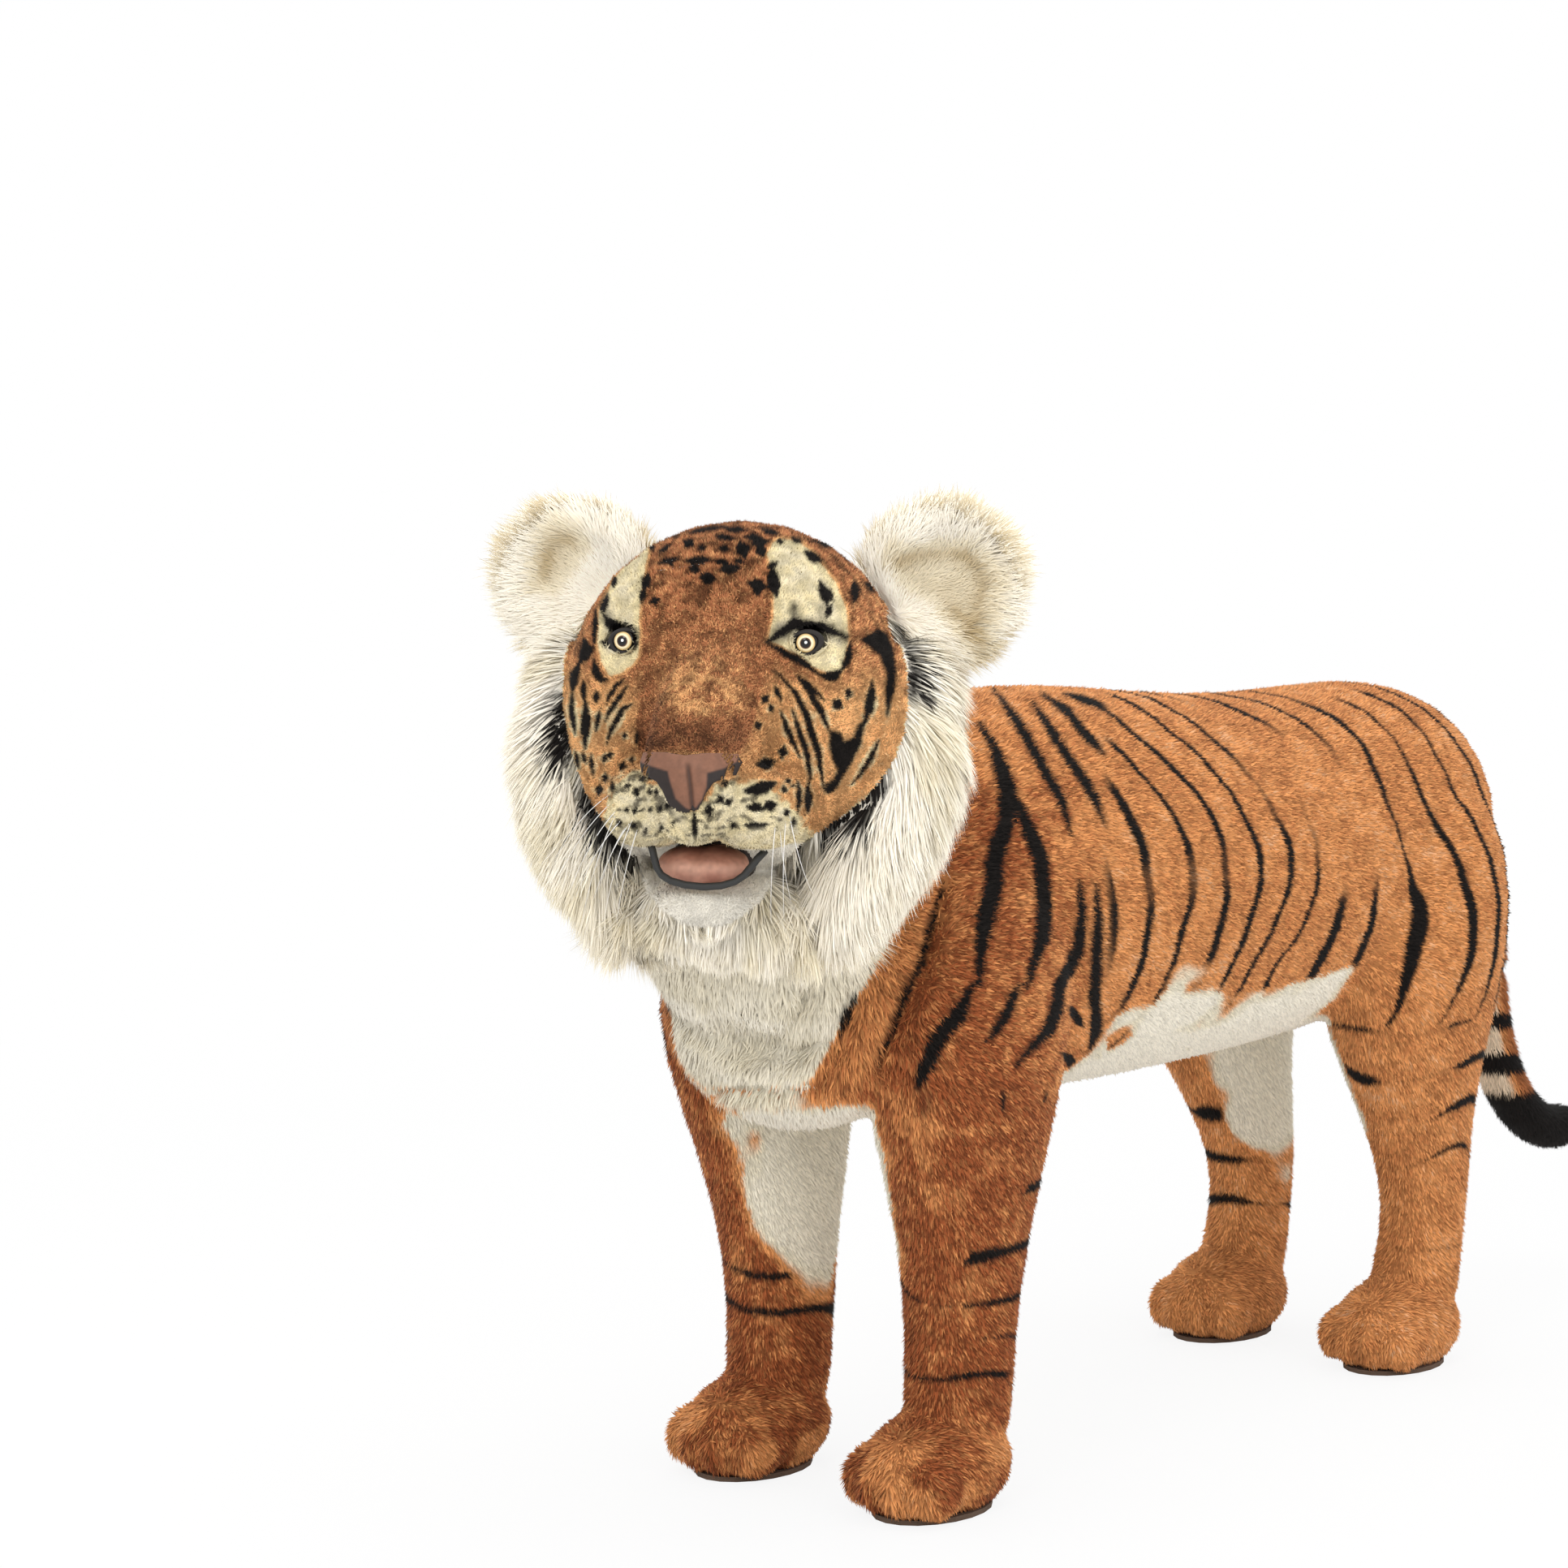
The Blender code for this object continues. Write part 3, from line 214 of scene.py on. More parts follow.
def vertexNormals(points, tris):
    a, b, c = points[tris[:, 0]], points[tris[:, 1]], points[tris[:, 2]]
    flat = np.cross(b - a, c - a)
    total = np.stack([
        sum(np.bincount(tris[:, corner], flat[:, axis], len(points)) for corner in range(3))
        for axis in range(3)], 1)
    return unit(total)


def relax(points, tris, rounds, share=0.5, keep=True):  # keep holds the volume
    a = np.concatenate((tris[:, 0], tris[:, 1], tris[:, 2]))
    b = np.concatenate((tris[:, 1], tris[:, 2], tris[:, 0]))
    count = np.maximum(np.bincount(a, minlength=len(points)) + np.bincount(b, minlength=len(points)), 1)[:, None]
    for turn in range(rounds * (2 if keep else 1)):
        total = np.stack([
            np.bincount(a, points[b, axis], len(points)) + np.bincount(b, points[a, axis], len(points))
            for axis in range(3)], 1)
        points = points + (-share * 1.04 if keep and turn % 2 else share) * (total / count - points)
    return points


def joined(names):
    points, tris, start = [], [], 0
    for name in names:
        some, corners = meshArrays(nodes[name].data)
        points.append(some)
        tris.append(corners + start)
        start += len(some)
    return np.vstack(points), np.vstack(tris)


def remeshed(names, voxel, rounds):  # one soft surface around the named solids
    draft = meshObject("draft", *joined(names))
    change = draft.modifiers.new("skin", "REMESH")
    change.mode = "VOXEL"
    change.voxel_size = voxel
    bpy.context.view_layer.update()
    shown = draft.evaluated_get(bpy.context.evaluated_depsgraph_get())
    points, tris = meshArrays(shown.to_mesh())
    shown.to_mesh_clear()
    bpy.data.objects.remove(draft)
    return relax(points, tris, rounds), tris


def ballMesh(radius, segments, rows):
    points = [(0, 0, -1)]
    for row in range(1, rows):
        tilt = math.pi * row / rows
        for step in range(segments):
            turn = math.tau * step / segments
            points.append((math.sin(tilt) * math.cos(turn), math.sin(tilt) * math.sin(turn), -math.cos(tilt)))
    points.append((0, 0, 1))
    tris = []
    for step in range(segments):
        after = (step + 1) % segments
        tris.append((0, 1 + after, 1 + step))
        for row in range(rows - 2):
            a, b = 1 + row * segments + step, 1 + row * segments + after
            tris += [(a, b, b + segments), (a, b + segments, a + segments)]
        tris.append((len(points) - 1, 1 + (rows - 2) * segments + step, 1 + (rows - 2) * segments + after))
    return np.array(points) * radius, np.array(tris)


def tubeMesh(path, radii, sides):
    path = np.array(path, float)
    radii = np.broadcast_to(np.asarray(radii, float), (len(path),))
    along = unit(np.gradient(path, axis=0))
    guide = np.array((0.31, 0.22, 0.92))
    across = unit(np.cross(along, guide))
    other = np.cross(along, across)
    turn = np.arange(sides) * math.tau / sides
    rings = (
        path[:, None] + radii[:, None, None]
        * (np.cos(turn)[None, :, None] * across[:, None] + np.sin(turn)[None, :, None] * other[:, None]))
    points = np.vstack((rings.reshape(-1, 3), path[:1], path[-1:]))
    tris, last = [], len(path) * sides
    for step in range(sides):
        after = (step + 1) % sides
        tris.append((last, after, step))
        for ring in range(len(path) - 1):
            a, b = ring * sides + step, ring * sides + after
            tris += [(a, b, b + sides), (a, b + sides, a + sides)]
        tris.append((last + 1, (len(path) - 1) * sides + step, (len(path) - 1) * sides + after))
    return points, np.array(tris)


def treeOf(points, tris):
    return BVHTree.FromPolygons([tuple(point) for point in points], [tuple(map(int, tri)) for tri in tris])


def covered(points, normals, tree, reach, lift=0.002):  # True where the tree is close above the point
    found = np.zeros(len(points), bool)
    for index, (point, normal) in enumerate(zip(points, normals)):
        found[index] = tree.ray_cast(Vector(point + normal * lift), Vector(normal), reach)[0] is not None
    return found


def setCoat(made, masks):
    values = np.clip(np.asarray(masks, np.float32), 0, 1)
    layer = made.data.attributes.new("coat", "FLOAT_COLOR", "POINT")
    layer.data.foreach_set("color", values.ravel())


def show(made, body, material, slot):
    made.data.materials.append(material)
    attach(made, body)


# helpers for materials

class Wire:  # one socket of a material, with sums on it
    def __init__(self, tree, socket):
        self.tree, self.socket = tree, socket

    def node(self, kind, settings=None, inputs=None, output=0):
        made = self.tree.nodes.new(kind)
        for key, value in (settings or {}).items():
            setattr(made, key, value)
        for key, value in (inputs or {}).items():
            if isinstance(value, Wire):
                self.tree.links.new(value.socket, made.inputs[key])
            else:
                made.inputs[key].default_value = value
        return Wire(self.tree, made.outputs[output])

    def wide(self):
        return self.socket.type != "VALUE"

    def sum(self, kind, first, second):
        if any(isinstance(item, Wire) and item.wide() or isinstance(item, tuple) for item in (first, second)):
            first, second = [(item,) * 3 if isinstance(item, (int, float)) else item for item in (first, second)]
            return self.node("ShaderNodeVectorMath", {"operation": kind}, {0: first, 1: second})
        return self.node("ShaderNodeMath", {"operation": kind}, {0: first, 1: second})

    def __add__(self, other):
        return self.sum("ADD", self, other)

    def __sub__(self, other):
        return self.sum("SUBTRACT", self, other)

    def __mul__(self, other):
        return self.sum("MULTIPLY", self, other)

    def __radd__(self, other):
        return self.sum("ADD", other, self)

    def __rsub__(self, other):
        return self.sum("SUBTRACT", other, self)

    def __rmul__(self, other):
        return self.sum("MULTIPLY", other, self)

    def feed(self, shader, key="Base Color"):
        self.tree.links.new(self.socket, shader.inputs[key])

    def channels(self):
        return [self.node("ShaderNodeSeparateColor", None, {0: self}, channel) for channel in range(3)]

    def between(self, low, high):  # 0 below low, 1 above high
        return self.node(
            "ShaderNodeMapRange", {"interpolation_type": "SMOOTHSTEP"},
            {"Value": self, "From Min": low, "From Max": high})

    def mix(self, first, second):  # self is the share of the second colour
        first, second = [(*item, 1.0) if isinstance(item, tuple) else item for item in (first, second)]
        return self.node("ShaderNodeMix", {"data_type": "RGBA"}, {0: self, 6: first, 7: second}, 2)


coat = {
    "rust": (0.34, 0.125, 0.052), "flank": (0.30, 0.080, 0.026), "tan": (0.80, 0.42, 0.17),
    "bodyTan": (0.76, 0.32, 0.11), "cream": (0.86, 0.73, 0.43), "ivory": (0.85, 0.775, 0.60),
    # the first of these is the colour of painted shade in the ears' hollows
    "white": (0.97, 0.915, 0.80), "hollow": (0.46, 0.33, 0.15), "beige": (0.86, 0.77, 0.58),
    "black": (0.010, 0.008, 0.007), "roughness": 0.9, "sheen": 0.02, "sheenRoughness": 0.4, "shine": 0.15,
    "steps": (0.0, 0.45, 0.75, 1.0)}  # steps: the shades where one colour gives way to the next


def newMaterial(name, roughness, values=None, colour=None):
    material = bpy.data.materials.new(name)
    material.use_nodes = True
    shader = material.node_tree.nodes["Principled BSDF"]
    shader.inputs["Roughness"].default_value = roughness
    if colour:
        shader.inputs["Base Color"].default_value = (*colour, 1.0)
    for key, value in (values or {}).items():
        shader.inputs[key].default_value = value
    return material, shader, Wire(material.node_tree, shader.inputs["Base Color"])


def coatMaterial(name, warm="rust", pale="cream", tan="tan", spread=0.75, gain=1.0):
    material, shader, wire = newMaterial(name, coat["roughness"], {
        "Sheen Weight": coat["sheen"], "Sheen Roughness": coat["sheenRoughness"],
        "Specular IOR Level": coat["shine"]})
    stripe, shade, tone = wire.node("ShaderNodeAttribute", {"attribute_name": "coat"}).channels()
    along = wire.node("ShaderNodeAttribute", {"attribute_name": "coat"}, None, 3)
    base = coat[warm]
    for low, high, colour in zip(coat["steps"], coat["steps"][1:], (coat[tan], coat[pale], coat["white"])):
        base = shade.between(low, high).mix(base, colour)
    base = stripe.mix(base, coat["black"])
    part = spread * (1.25 - shade)
    # along makes a strand darker at its root and lighter at its tip: painted shade deep in the pile; gain scales the
    # whole coat
    base = base * (1.0 - part * 0.6 + tone * part) * (0.86 * gain + along * 0.20)
    base.feed(shader)
    return material


# strands

def scatter(points, tris, normals, perSquareMetre, weight, rng):
    a, b, c = points[tris[:, 0]], points[tris[:, 1]], points[tris[:, 2]]
    area = np.linalg.norm(np.cross(b - a, c - a), axis=1) / 2
    wanted = area * perSquareMetre * weight[tris].mean(1)
    chosen = np.repeat(np.arange(len(tris)), np.floor(wanted + rng.random(len(tris))).astype(int))
    u, v = rng.random(len(chosen)), rng.random(len(chosen))
    over = u + v > 1
    u[over], v[over] = 1 - u[over], 1 - v[over]
    shares = np.stack((1 - u - v, u, v), 1)[:, :, None]
    corners = tris[chosen]
    return (points[corners] * shares).sum(1), unit((normals[corners] * shares).sum(1))


plainPile = {  # what a pile has where its own dictionary says nothing
    "segments": 1, "droop": 0.0, "bend": 0.0, "jitter": 0.25, "clump": 0.0, "clumpPull": 0.7, "round": 0.45,
    "lean": 0.3, "grain": 0.0, "depth": 0.0012, "taper": 0.55, "liftSpread": 0.25, "tilts": (4, 85),
    "lengths": (0.7, 1.15), "widths": (0.75, 1.25), "margin": 0.15, "mostFaces": 195000}


def strandCells(masks, shares, margin):  # a cell of the baked map for each strand, like colours side by side
    count, last = len(masks), len(shares) - 1
    order = np.empty(count, int)
    order[np.lexsort((masks[:, 2], np.round(masks[:, 1] * 6), np.round(masks[:, 0] * 4)))] = np.arange(count)
    grid, room = math.ceil(math.sqrt(count)), 1 - 2 * margin
    corner = np.stack((order % grid, order // grid), 1)[:, None]
    inner = np.array([
        (0.5 if index == last else margin + room * (index % 2), margin + room * share)
        for index, share in enumerate(shares)])
    return ((corner + inner[None]) / grid).reshape(-1, 2)


def growFur(name, roots, normals, aim, pile, length, lift, masks, dress, rng, paint=None, soften=0.0):
    pile = {**plainPile, **pile}
    segments, count = pile["segments"], len(roots)
    pieces = math.ceil(count * (2 * segments - 1) / pile["mostFaces"])
    if pieces > 1:  # a dense pile is several pieces side by side
        order = np.argsort(roots[:, 1], kind="stable")
        for number, chosen in enumerate(np.array_split(order, pieces)):
            own = [
                item[chosen] if isinstance(item, np.ndarray) and len(item) == count else item
                for item in (length, lift, soften)]
            growFur(
                f"{name}{number + 1}", roots[chosen], normals[chosen], aim[chosen], pile, own[0], own[1],
                masks[chosen], dress, rng, paint, own[2])
        return
    aim = aim + rng.normal(0, pile["jitter"], (count, 3))
    if pile["clump"]:
        cell = np.stack([cloud(roots, pile["clump"], 11 + axis) for axis in range(3)], 1) - 0.5
        aim = unit(aim) + cell * pile["clumpPull"]
    aim = unit(aim - normals * (aim * normals).sum(1)[:, None])
    side = np.cross(normals, aim)
    tilt = np.radians(np.clip(lift * (1 + rng.normal(0, pile["liftSpread"], count)), *pile["tilts"]))
    length = length * rng.uniform(*pile["lengths"], count)
    out = aim * np.cos(tilt)[:, None] + normals * np.sin(tilt)[:, None]
    rows, frames, values = [], [], []
    fleck = pile["grain"] * (rng.random(count) ** 2 - 0.3)
    turned = unit(normals + soften)
    half = pile["width"] / 2 * rng.uniform(*pile["widths"], count)
    sway = side * rng.normal(0, pile["bend"], count)[:, None]
    for step in range(segments + 1):
        share = step / segments
        middle = roots - normals * pile["depth"] + length[:, None] * (
            out * share + sway * share ** 2 - upAxis * pile["droop"] * share ** 2)
        spot = masks
        if paint:
            stripe, shade = paint(middle, normals)[:2]
            if shade is None:  # black spots over a pile that keeps its own shade
                spot = np.column_stack((np.maximum(stripe, masks[:, 0]), masks[:, 1:]))
            else:
                spot = np.stack((stripe, shade + fleck * smooth(0.6, 0.3, shade), masks[:, 2]), 1)
        values += [spot[:, None]] * (1 if step == segments else 2)
        if step == segments:
            rows.append(middle[:, None])
            frames.append(unit(turned + aim * pile["lean"])[:, None])
        else:
            wide = (half * (1 - share ** 2 * pile["taper"]))[:, None] * side
            rows.append(np.stack((middle - wide, middle + wide), 1))
            frames.append(np.stack((unit(turned - side * pile["round"]), unit(turned + side * pile["round"])), 1))
    points = np.concatenate(rows, 1)
    each = points.shape[1]
    facet = []
    for step in range(segments - 1):
        a = step * 2
        facet += [(a, a + 3, a + 1), (a, a + 2, a + 3)]
    facet.append((each - 3, each - 1, each - 2))
    facet = np.array(facet)
    faces = (np.arange(count)[:, None, None] * each + facet[None]).reshape(-1, 3)
    made = meshObject(name, points.reshape(-1, 3), faces)
    shares = np.array([min(index // 2, segments) / segments for index in range(each)])
    colours = np.concatenate((np.concatenate(values, 1), np.broadcast_to(shares[None, :, None], (count, each, 1))), 2)
    setCoat(made, colours.reshape(-1, 4))
    cells = strandCells(masks, shares, pile["margin"])
    layer = made.data.uv_layers.new(name="OFBake")
    layer.data.foreach_set("uv", cells[faces.ravel()].astype(np.float32).ravel())
    made.data.normals_split_custom_set_from_vertices(np.concatenate(frames, 1).reshape(-1, 3).astype(np.float32))
    show(made, *dress)
    print(name, count, "strands")


# markings that the photograph shows, in its pixels

maskOutline = (
    (860, 641), (906, 639), (950, 642), (1000, 655), (1040, 685), (1075, 725), (1100, 765), (1115, 820),
    (1118, 865), (1112, 905), (1098, 940), (1075, 970), (1045, 998), (1005, 1026), (985, 1042), (940, 1050),
    (850, 1052), (800, 1048), (765, 1040), (745, 1015), (722, 975), (703, 920), (694, 865), (697, 810),
    (710, 765), (735, 715), (770, 675), (815, 650))
palePatches = (
    ((943, 683), (950, 668), (959, 661), (985, 664), (1007, 683), (1032, 718), (1045, 750), (1048, 782),
     (1046, 800), (1039, 830), (1020, 832), (1000, 823), (975, 805), (955, 795), (944, 790), (951, 760),
     (951, 737), (952, 715)),
    ((799, 664), (785, 672), (768, 692), (750, 720), (736, 752), (733, 790), (738, 815), (750, 836),
     (765, 832), (778, 823), (788, 812), (790, 797), (790, 753), (793, 730), (797, 700), (803, 672)),
    ((748, 965), (770, 945), (790, 948), (812, 958), (835, 975), (858, 998), (866, 1020), (866, 1075),
     (800, 1080), (750, 1050), (735, 1010)),
    ((840, 998), (860, 985), (880, 962), (905, 952), (930, 956), (955, 966), (980, 990), (1000, 1015),
     (1012, 1030), (990, 1070), (900, 1080), (838, 1075)))
faceStrokes = (
    (12, ((944, 792), (960, 781), (978, 769), (1000, 772), (1018, 775), (1044, 786))),
    (8, ((946, 793), (960, 801), (973, 808), (987, 815), (1001, 825), (1013, 833))),
    (10, ((1010, 832), (1027, 834), (1037, 826))), (8, ((1036, 827), (1045, 813), (1049, 791))),
    (7, ((945, 700), (950, 697), (958, 693))), (13, ((951, 700), (953, 716), (956, 734))),
    (9, ((976, 660), (981, 664), (988, 668))), (11, ((992, 679), (1002, 686), (1013, 692))),
    (10, ((1010, 716), (1015, 728), (1019, 746))), (9, ((1015, 722), (1026, 741))), (7, ((1024, 745), (1018, 762))),
    (8, ((961, 663), (962, 670))), (10, ((1052, 716), (1054, 728), (1052, 741))),
    (6, ((1074, 724), (1086, 745), (1096, 762))), (4, ((1020, 665), (1034, 676), (1048, 690))),
    (12, ((1026, 864), (1037, 872))), (8, ((1047, 848), (1044, 861))),
    (5, ((981, 832), (991, 838), (1000, 848), (1008, 855), (1016, 864))),
    (7, ((983, 836), (989, 843), (999, 855), (1005, 865), (1012, 877), (1017, 889), (1023, 903))),
    (7, ((952, 827), (963, 834), (971, 845), (980, 854), (986, 866), (994, 882), (999, 899), (1004, 915),
         (1008, 926), (1010, 940), (1012, 953), (1014, 966), (1017, 976))),
    (6, ((954, 845), (959, 855), (963, 864))),
    (6, ((976, 873), (981, 889), (986, 906), (991, 917), (994, 928), (996, 940), (998, 953), (996, 970))),
    (7, ((996, 966), (996, 985), (995, 1002))),
    (6, ((961, 876), (967, 889), (971, 902), (977, 915), (982, 925), (986, 934))),
    (12, ((940, 858), (946, 864))), (5, ((948, 868), (952, 878))), (8, ((933, 889), (936, 899))),
    (13, ((961, 926), (969, 927))), (11, ((934, 942), (945, 941), (954, 938))),
    (10, ((1065, 892), (1071, 872), (1074, 852), (1075, 838))),
    (5, ((1083, 911), (1079, 921), (1073, 934), (1065, 947), (1058, 956), (1048, 968))),
    (5, ((983, 962), (985, 985), (982, 1002))),
    (7, ((846, 657), (870, 651), (897, 648))), (7, ((892, 652), (920, 653))), (9, ((937, 650), (959, 658))),
    (11, ((843, 666), (854, 672))), (8, ((860, 675), (870, 675))), (7, ((880, 660), (905, 664))),
    (7, ((886, 675), (898, 677))), (9, ((918, 661), (941, 664))), (14, ((912, 667), (915, 676), (918, 687))),
    (8, ((926, 671), (948, 666))), (12, ((935, 672), (940, 685))), (6, ((826, 671), (811, 681))),
    (8, ((800, 676), (806, 674))), (7, ((811, 694), (837, 688))), (9, ((843, 691), (877, 690))),
    (7, ((881, 690), (898, 695))), (8, ((849, 699), (863, 704))), (11, ((887, 702), (912, 700))),
    (13, ((863, 711), (881, 714))), (11, ((921, 717), (946, 724))), (10, ((931, 721), (936, 733))),
    (10, ((798, 706), (794, 727))), (7, ((794, 722), (790, 744))), (12, ((805, 736), (808, 745))),
    (7, ((766, 694), (770, 691))), (6, ((757, 710), (756, 724))), (8, ((748, 732), (742, 757))),
    (5, ((828, 662), (838, 656))), (5, ((822, 688), (830, 698))), (6, ((905, 690), (916, 693))),
    (13, ((745, 759), (752, 769), (761, 775), (781, 779))), (8, ((740, 791), (761, 797))),
    (5, ((734, 750), (733, 775), (731, 800))), (9, ((731, 812), (734, 828), (741, 838), (749, 838))),
    (13, ((720, 788), (723, 803), (714, 818))), (10, ((714, 816), (708, 832), (705, 852))),
    (6, ((705, 850), (704, 870), (706, 890), (709, 906))),
    (6, ((719, 838), (719, 850), (720, 866))), (10, ((721, 862), (722, 885), (721, 905), (721, 923))),
    (7, ((735, 851), (735, 867))), (5, ((740, 872), (737, 885), (734, 902))),
    (5, ((772, 834), (760, 844), (752, 856), (747, 868))),
    (6, ((774, 844), (767, 854), (758, 867), (750, 879), (745, 889))),
    (6, ((780, 867), (767, 874), (760, 887), (754, 897), (750, 907), (747, 917))),
    (5, ((772, 902), (768, 910))), (4, ((785, 900), (784, 920))), (4, ((717, 926), (722, 942))),
    (4, ((728, 928), (729, 943), (731, 958))), (4, ((745, 928), (744, 941))), (4, ((708, 925), (714, 948))),
    (6, ((751, 926), (752, 935))), (5, ((778, 932), (779, 939))), (9, ((763, 942), (771, 945))),
    (6, ((745, 953), (746, 964))), (7, ((739, 967), (738, 980))), (5, ((754, 963), (755, 976))),
    (6, ((773, 965), (775, 973))), (9, ((780, 977), (788, 975))), (7, ((798, 976), (803, 975))),
    (7, ((806, 976), (811, 976))), (6, ((790, 956), (793, 963))), (6, ((799, 956), (803, 961))),
    (5, ((769, 999), (775, 998))), (7, ((780, 998), (785, 1000))), (5, ((791, 997), (792, 999))),
    (6, ((800, 996), (803, 999))), (8, ((810, 996), (815, 998))), (8, ((820, 991), (825, 994))),
    (7, ((760, 1012), (765, 1018))), (7, ((777, 1015), (785, 1019))), (5, ((772, 1022), (773, 1027))),
    (8, ((793, 1024), (797, 1026))), (6, ((813, 1020), (817, 1021))), (6, ((828, 1013), (831, 1014))),
    (9, ((890, 966), (897, 964))), (11, ((917, 975), (932, 973), (944, 969), (955, 964))),
    (5, ((970, 959), (972, 966))), (5, ((965, 968), (968, 978))), (5, ((976, 967), (978, 970))),
    (9, ((885, 981), (890, 989))), (11, ((869, 999), (878, 998))), (8, ((896, 985), (899, 992))),
    (8, ((920, 994), (935, 995), (940, 998))), (11, ((942, 995), (956, 991))), (6, ((900, 1015), (907, 1019))),
    (7, ((917, 1016), (928, 1019), (945, 1016))), (6, ((917, 1038), (934, 1030))), (6, ((968, 998), (971, 1005))),
    (6, ((955, 1023), (959, 1023))), (5, ((965, 1030), (972, 1025))), (4, ((978, 1006), (978, 1022))),
    (5, ((855, 1000), (857, 1040))))
faceSmudges = (  # reach in pixels, strength, line
    (17, 0.75, ((950, 788), (962, 780), (979, 770), (1000, 772), (1018, 775), (1040, 785))),
    (13, 0.70, ((978, 750), (982, 762), (988, 776))), (10, 0.55, ((1014, 752), (1013, 774))),
    (14, 0.60, ((747, 760), (754, 770), (764, 777), (782, 781))))
eyeRings = (((996, 791), 15.5), ((773, 792), 14.5))  # middle and reach
facePatches = (
    ((1058, 788), (1083, 774), (1094, 781), (1102, 800), (1105, 825), (1103, 851), (1098, 871), (1095, 888),
     (1091, 877), (1090, 851), (1092, 829), (1083, 808), (1072, 799)),
    ((1022, 899), (1037, 902), (1041, 913), (1051, 908), (1056, 893), (1068, 886), (1065, 902), (1063, 915),
     (1056, 928), (1049, 943), (1040, 958), (1032, 971), (1022, 980), (1014, 976), (1017, 965), (1027, 959),
     (1031, 948), (1024, 935), (1021, 921)))
chinPatch = (
    (756, 1022), (775, 1045), (789, 1069), (800, 1100), (820, 1125), (845, 1139), (866, 1143), (900, 1139),
    (935, 1112), (958, 1072), (985, 1040), (1014, 1010), (960, 1010), (880, 1036), (800, 1034))
# painted shade in the ears' hollows; it is darkest near the outline's first points, under the upper rim
earHollowShades = (
    ((664, 728), (670, 692), (682, 667), (700, 655), (720, 662), (730, 684), (716, 706), (694, 732)),
    ((1093, 693), (1124, 681), (1159, 676), (1192, 682), (1208, 699), (1214, 719), (1208, 744), (1201, 766),
     (1187, 797), (1170, 815), (1168, 770), (1140, 745), (1110, 730), (1088, 710)))
brownPatch = (
    (797, 740), (850, 752), (900, 752), (943, 745), (946, 800), (938, 850), (928, 895), (912, 928),
    (850, 925), (788, 926), (784, 895), (790, 850), (797, 800))
tuftPatches = (
    ((1100, 742), (1114, 752), (1126, 790), (1136, 835), (1128, 862), (1117, 858), (1115, 820), (1105, 768)),
    ((708, 838), (703, 865), (709, 908), (706, 935), (694, 945), (681, 935), (677, 905), (684, 870), (696, 845)),
    ((724, 960), (748, 1005), (775, 1030), (788, 1056), (770, 1066), (738, 1040), (718, 1000), (714, 968)),
    ((1008, 990), (1043, 976), (1063, 952), (1078, 928), (1096, 932), (1092, 966), (1072, 1002), (1048, 1026),
     (1012, 1028)))
chestPatch = (
    (785, 1150), (788, 1224), (802, 1274), (830, 1310), (868, 1345), (985, 1345), (1004, 1328), (1034, 1269),
    (1064, 1224), (1099, 1159), (1144, 1089), (1158, 1050), (1156, 1000), (1150, 940), (600, 800), (600, 1150))
tanPatch = (
    (1144, 1089), (1165, 1080), (1156, 1125), (1139, 1169), (1110, 1240), (1079, 1298), (1050, 1350),
    (1000, 1350), (1034, 1269), (1064, 1224), (1099, 1159))
flankStrokes = (
    (18, ((1207, 892), (1222, 914), (1234, 946), (1242, 975), (1240, 1012), (1231, 1039), (1225, 1066),
          (1225, 1089), (1214, 1134), (1207, 1189), (1207, 1214))),
    (16, ((1200, 1210), (1182, 1249), (1156, 1280), (1140, 1316), (1127, 1350))),
    (9, ((1224, 848), (1244, 875), (1262, 903), (1278, 932), (1294, 961), (1307, 983), (1320, 1028))),
    (15, ((1244, 972), (1258, 997), (1271, 1030), (1282, 1057), (1287, 1115), (1285, 1153), (1273, 1189),
          (1266, 1216))),
    (9, ((1258, 1212), (1234, 1260), (1216, 1284))),
    (9, ((1271, 863), (1289, 890), (1307, 921), (1331, 954), (1349, 984), (1364, 1022))),
    (8, ((1282, 854), (1316, 877), (1338, 906), (1366, 932))),
    (7, ((1311, 854), (1345, 865), (1385, 882))),
    (12, ((1331, 1085), (1333, 1125), (1329, 1171), (1316, 1196), (1305, 1216), (1302, 1244), (1291, 1271),
          (1269, 1293), (1251, 1313))),
    (11, ((1351, 1089), (1354, 1134), (1349, 1222), (1351, 1262), (1347, 1307), (1342, 1350))),
    (8, ((1318, 1240), (1328, 1256), (1334, 1265))), (8, ((1309, 1298), (1318, 1306), (1326, 1320))),
    # this dark stroke is painted shade in the crease between the chest and the shoulder, where chestFolds also dents
    # the skin
    (6, ((1165, 1085), (1150, 1130), (1134, 1189), (1116, 1225), (1098, 1271), (1080, 1314))),
    (7, ((1056, 1225), (1044, 1250), (1034, 1278))))
chestFolds = (  # width in pixels, depth, line
    (26, -0.014, ((1012, 1190), (996, 1225), (980, 1255))),
    (30, -0.009, ((1160, 1075), (1150, 1130), (1134, 1189), (1116, 1225), (1098, 1271), (1080, 1320))),
    (36, -0.011, ((862, 1222), (884, 1250), (925, 1278), (975, 1290), (1015, 1278))),
    (32, 0.008, ((850, 1262), (900, 1300), (960, 1318), (1000, 1312))),
    (24, -0.008, ((880, 1340), (930, 1330), (975, 1335))),
    (26, -0.006, ((1054, 1229), (1034, 1280), (1010, 1330))))


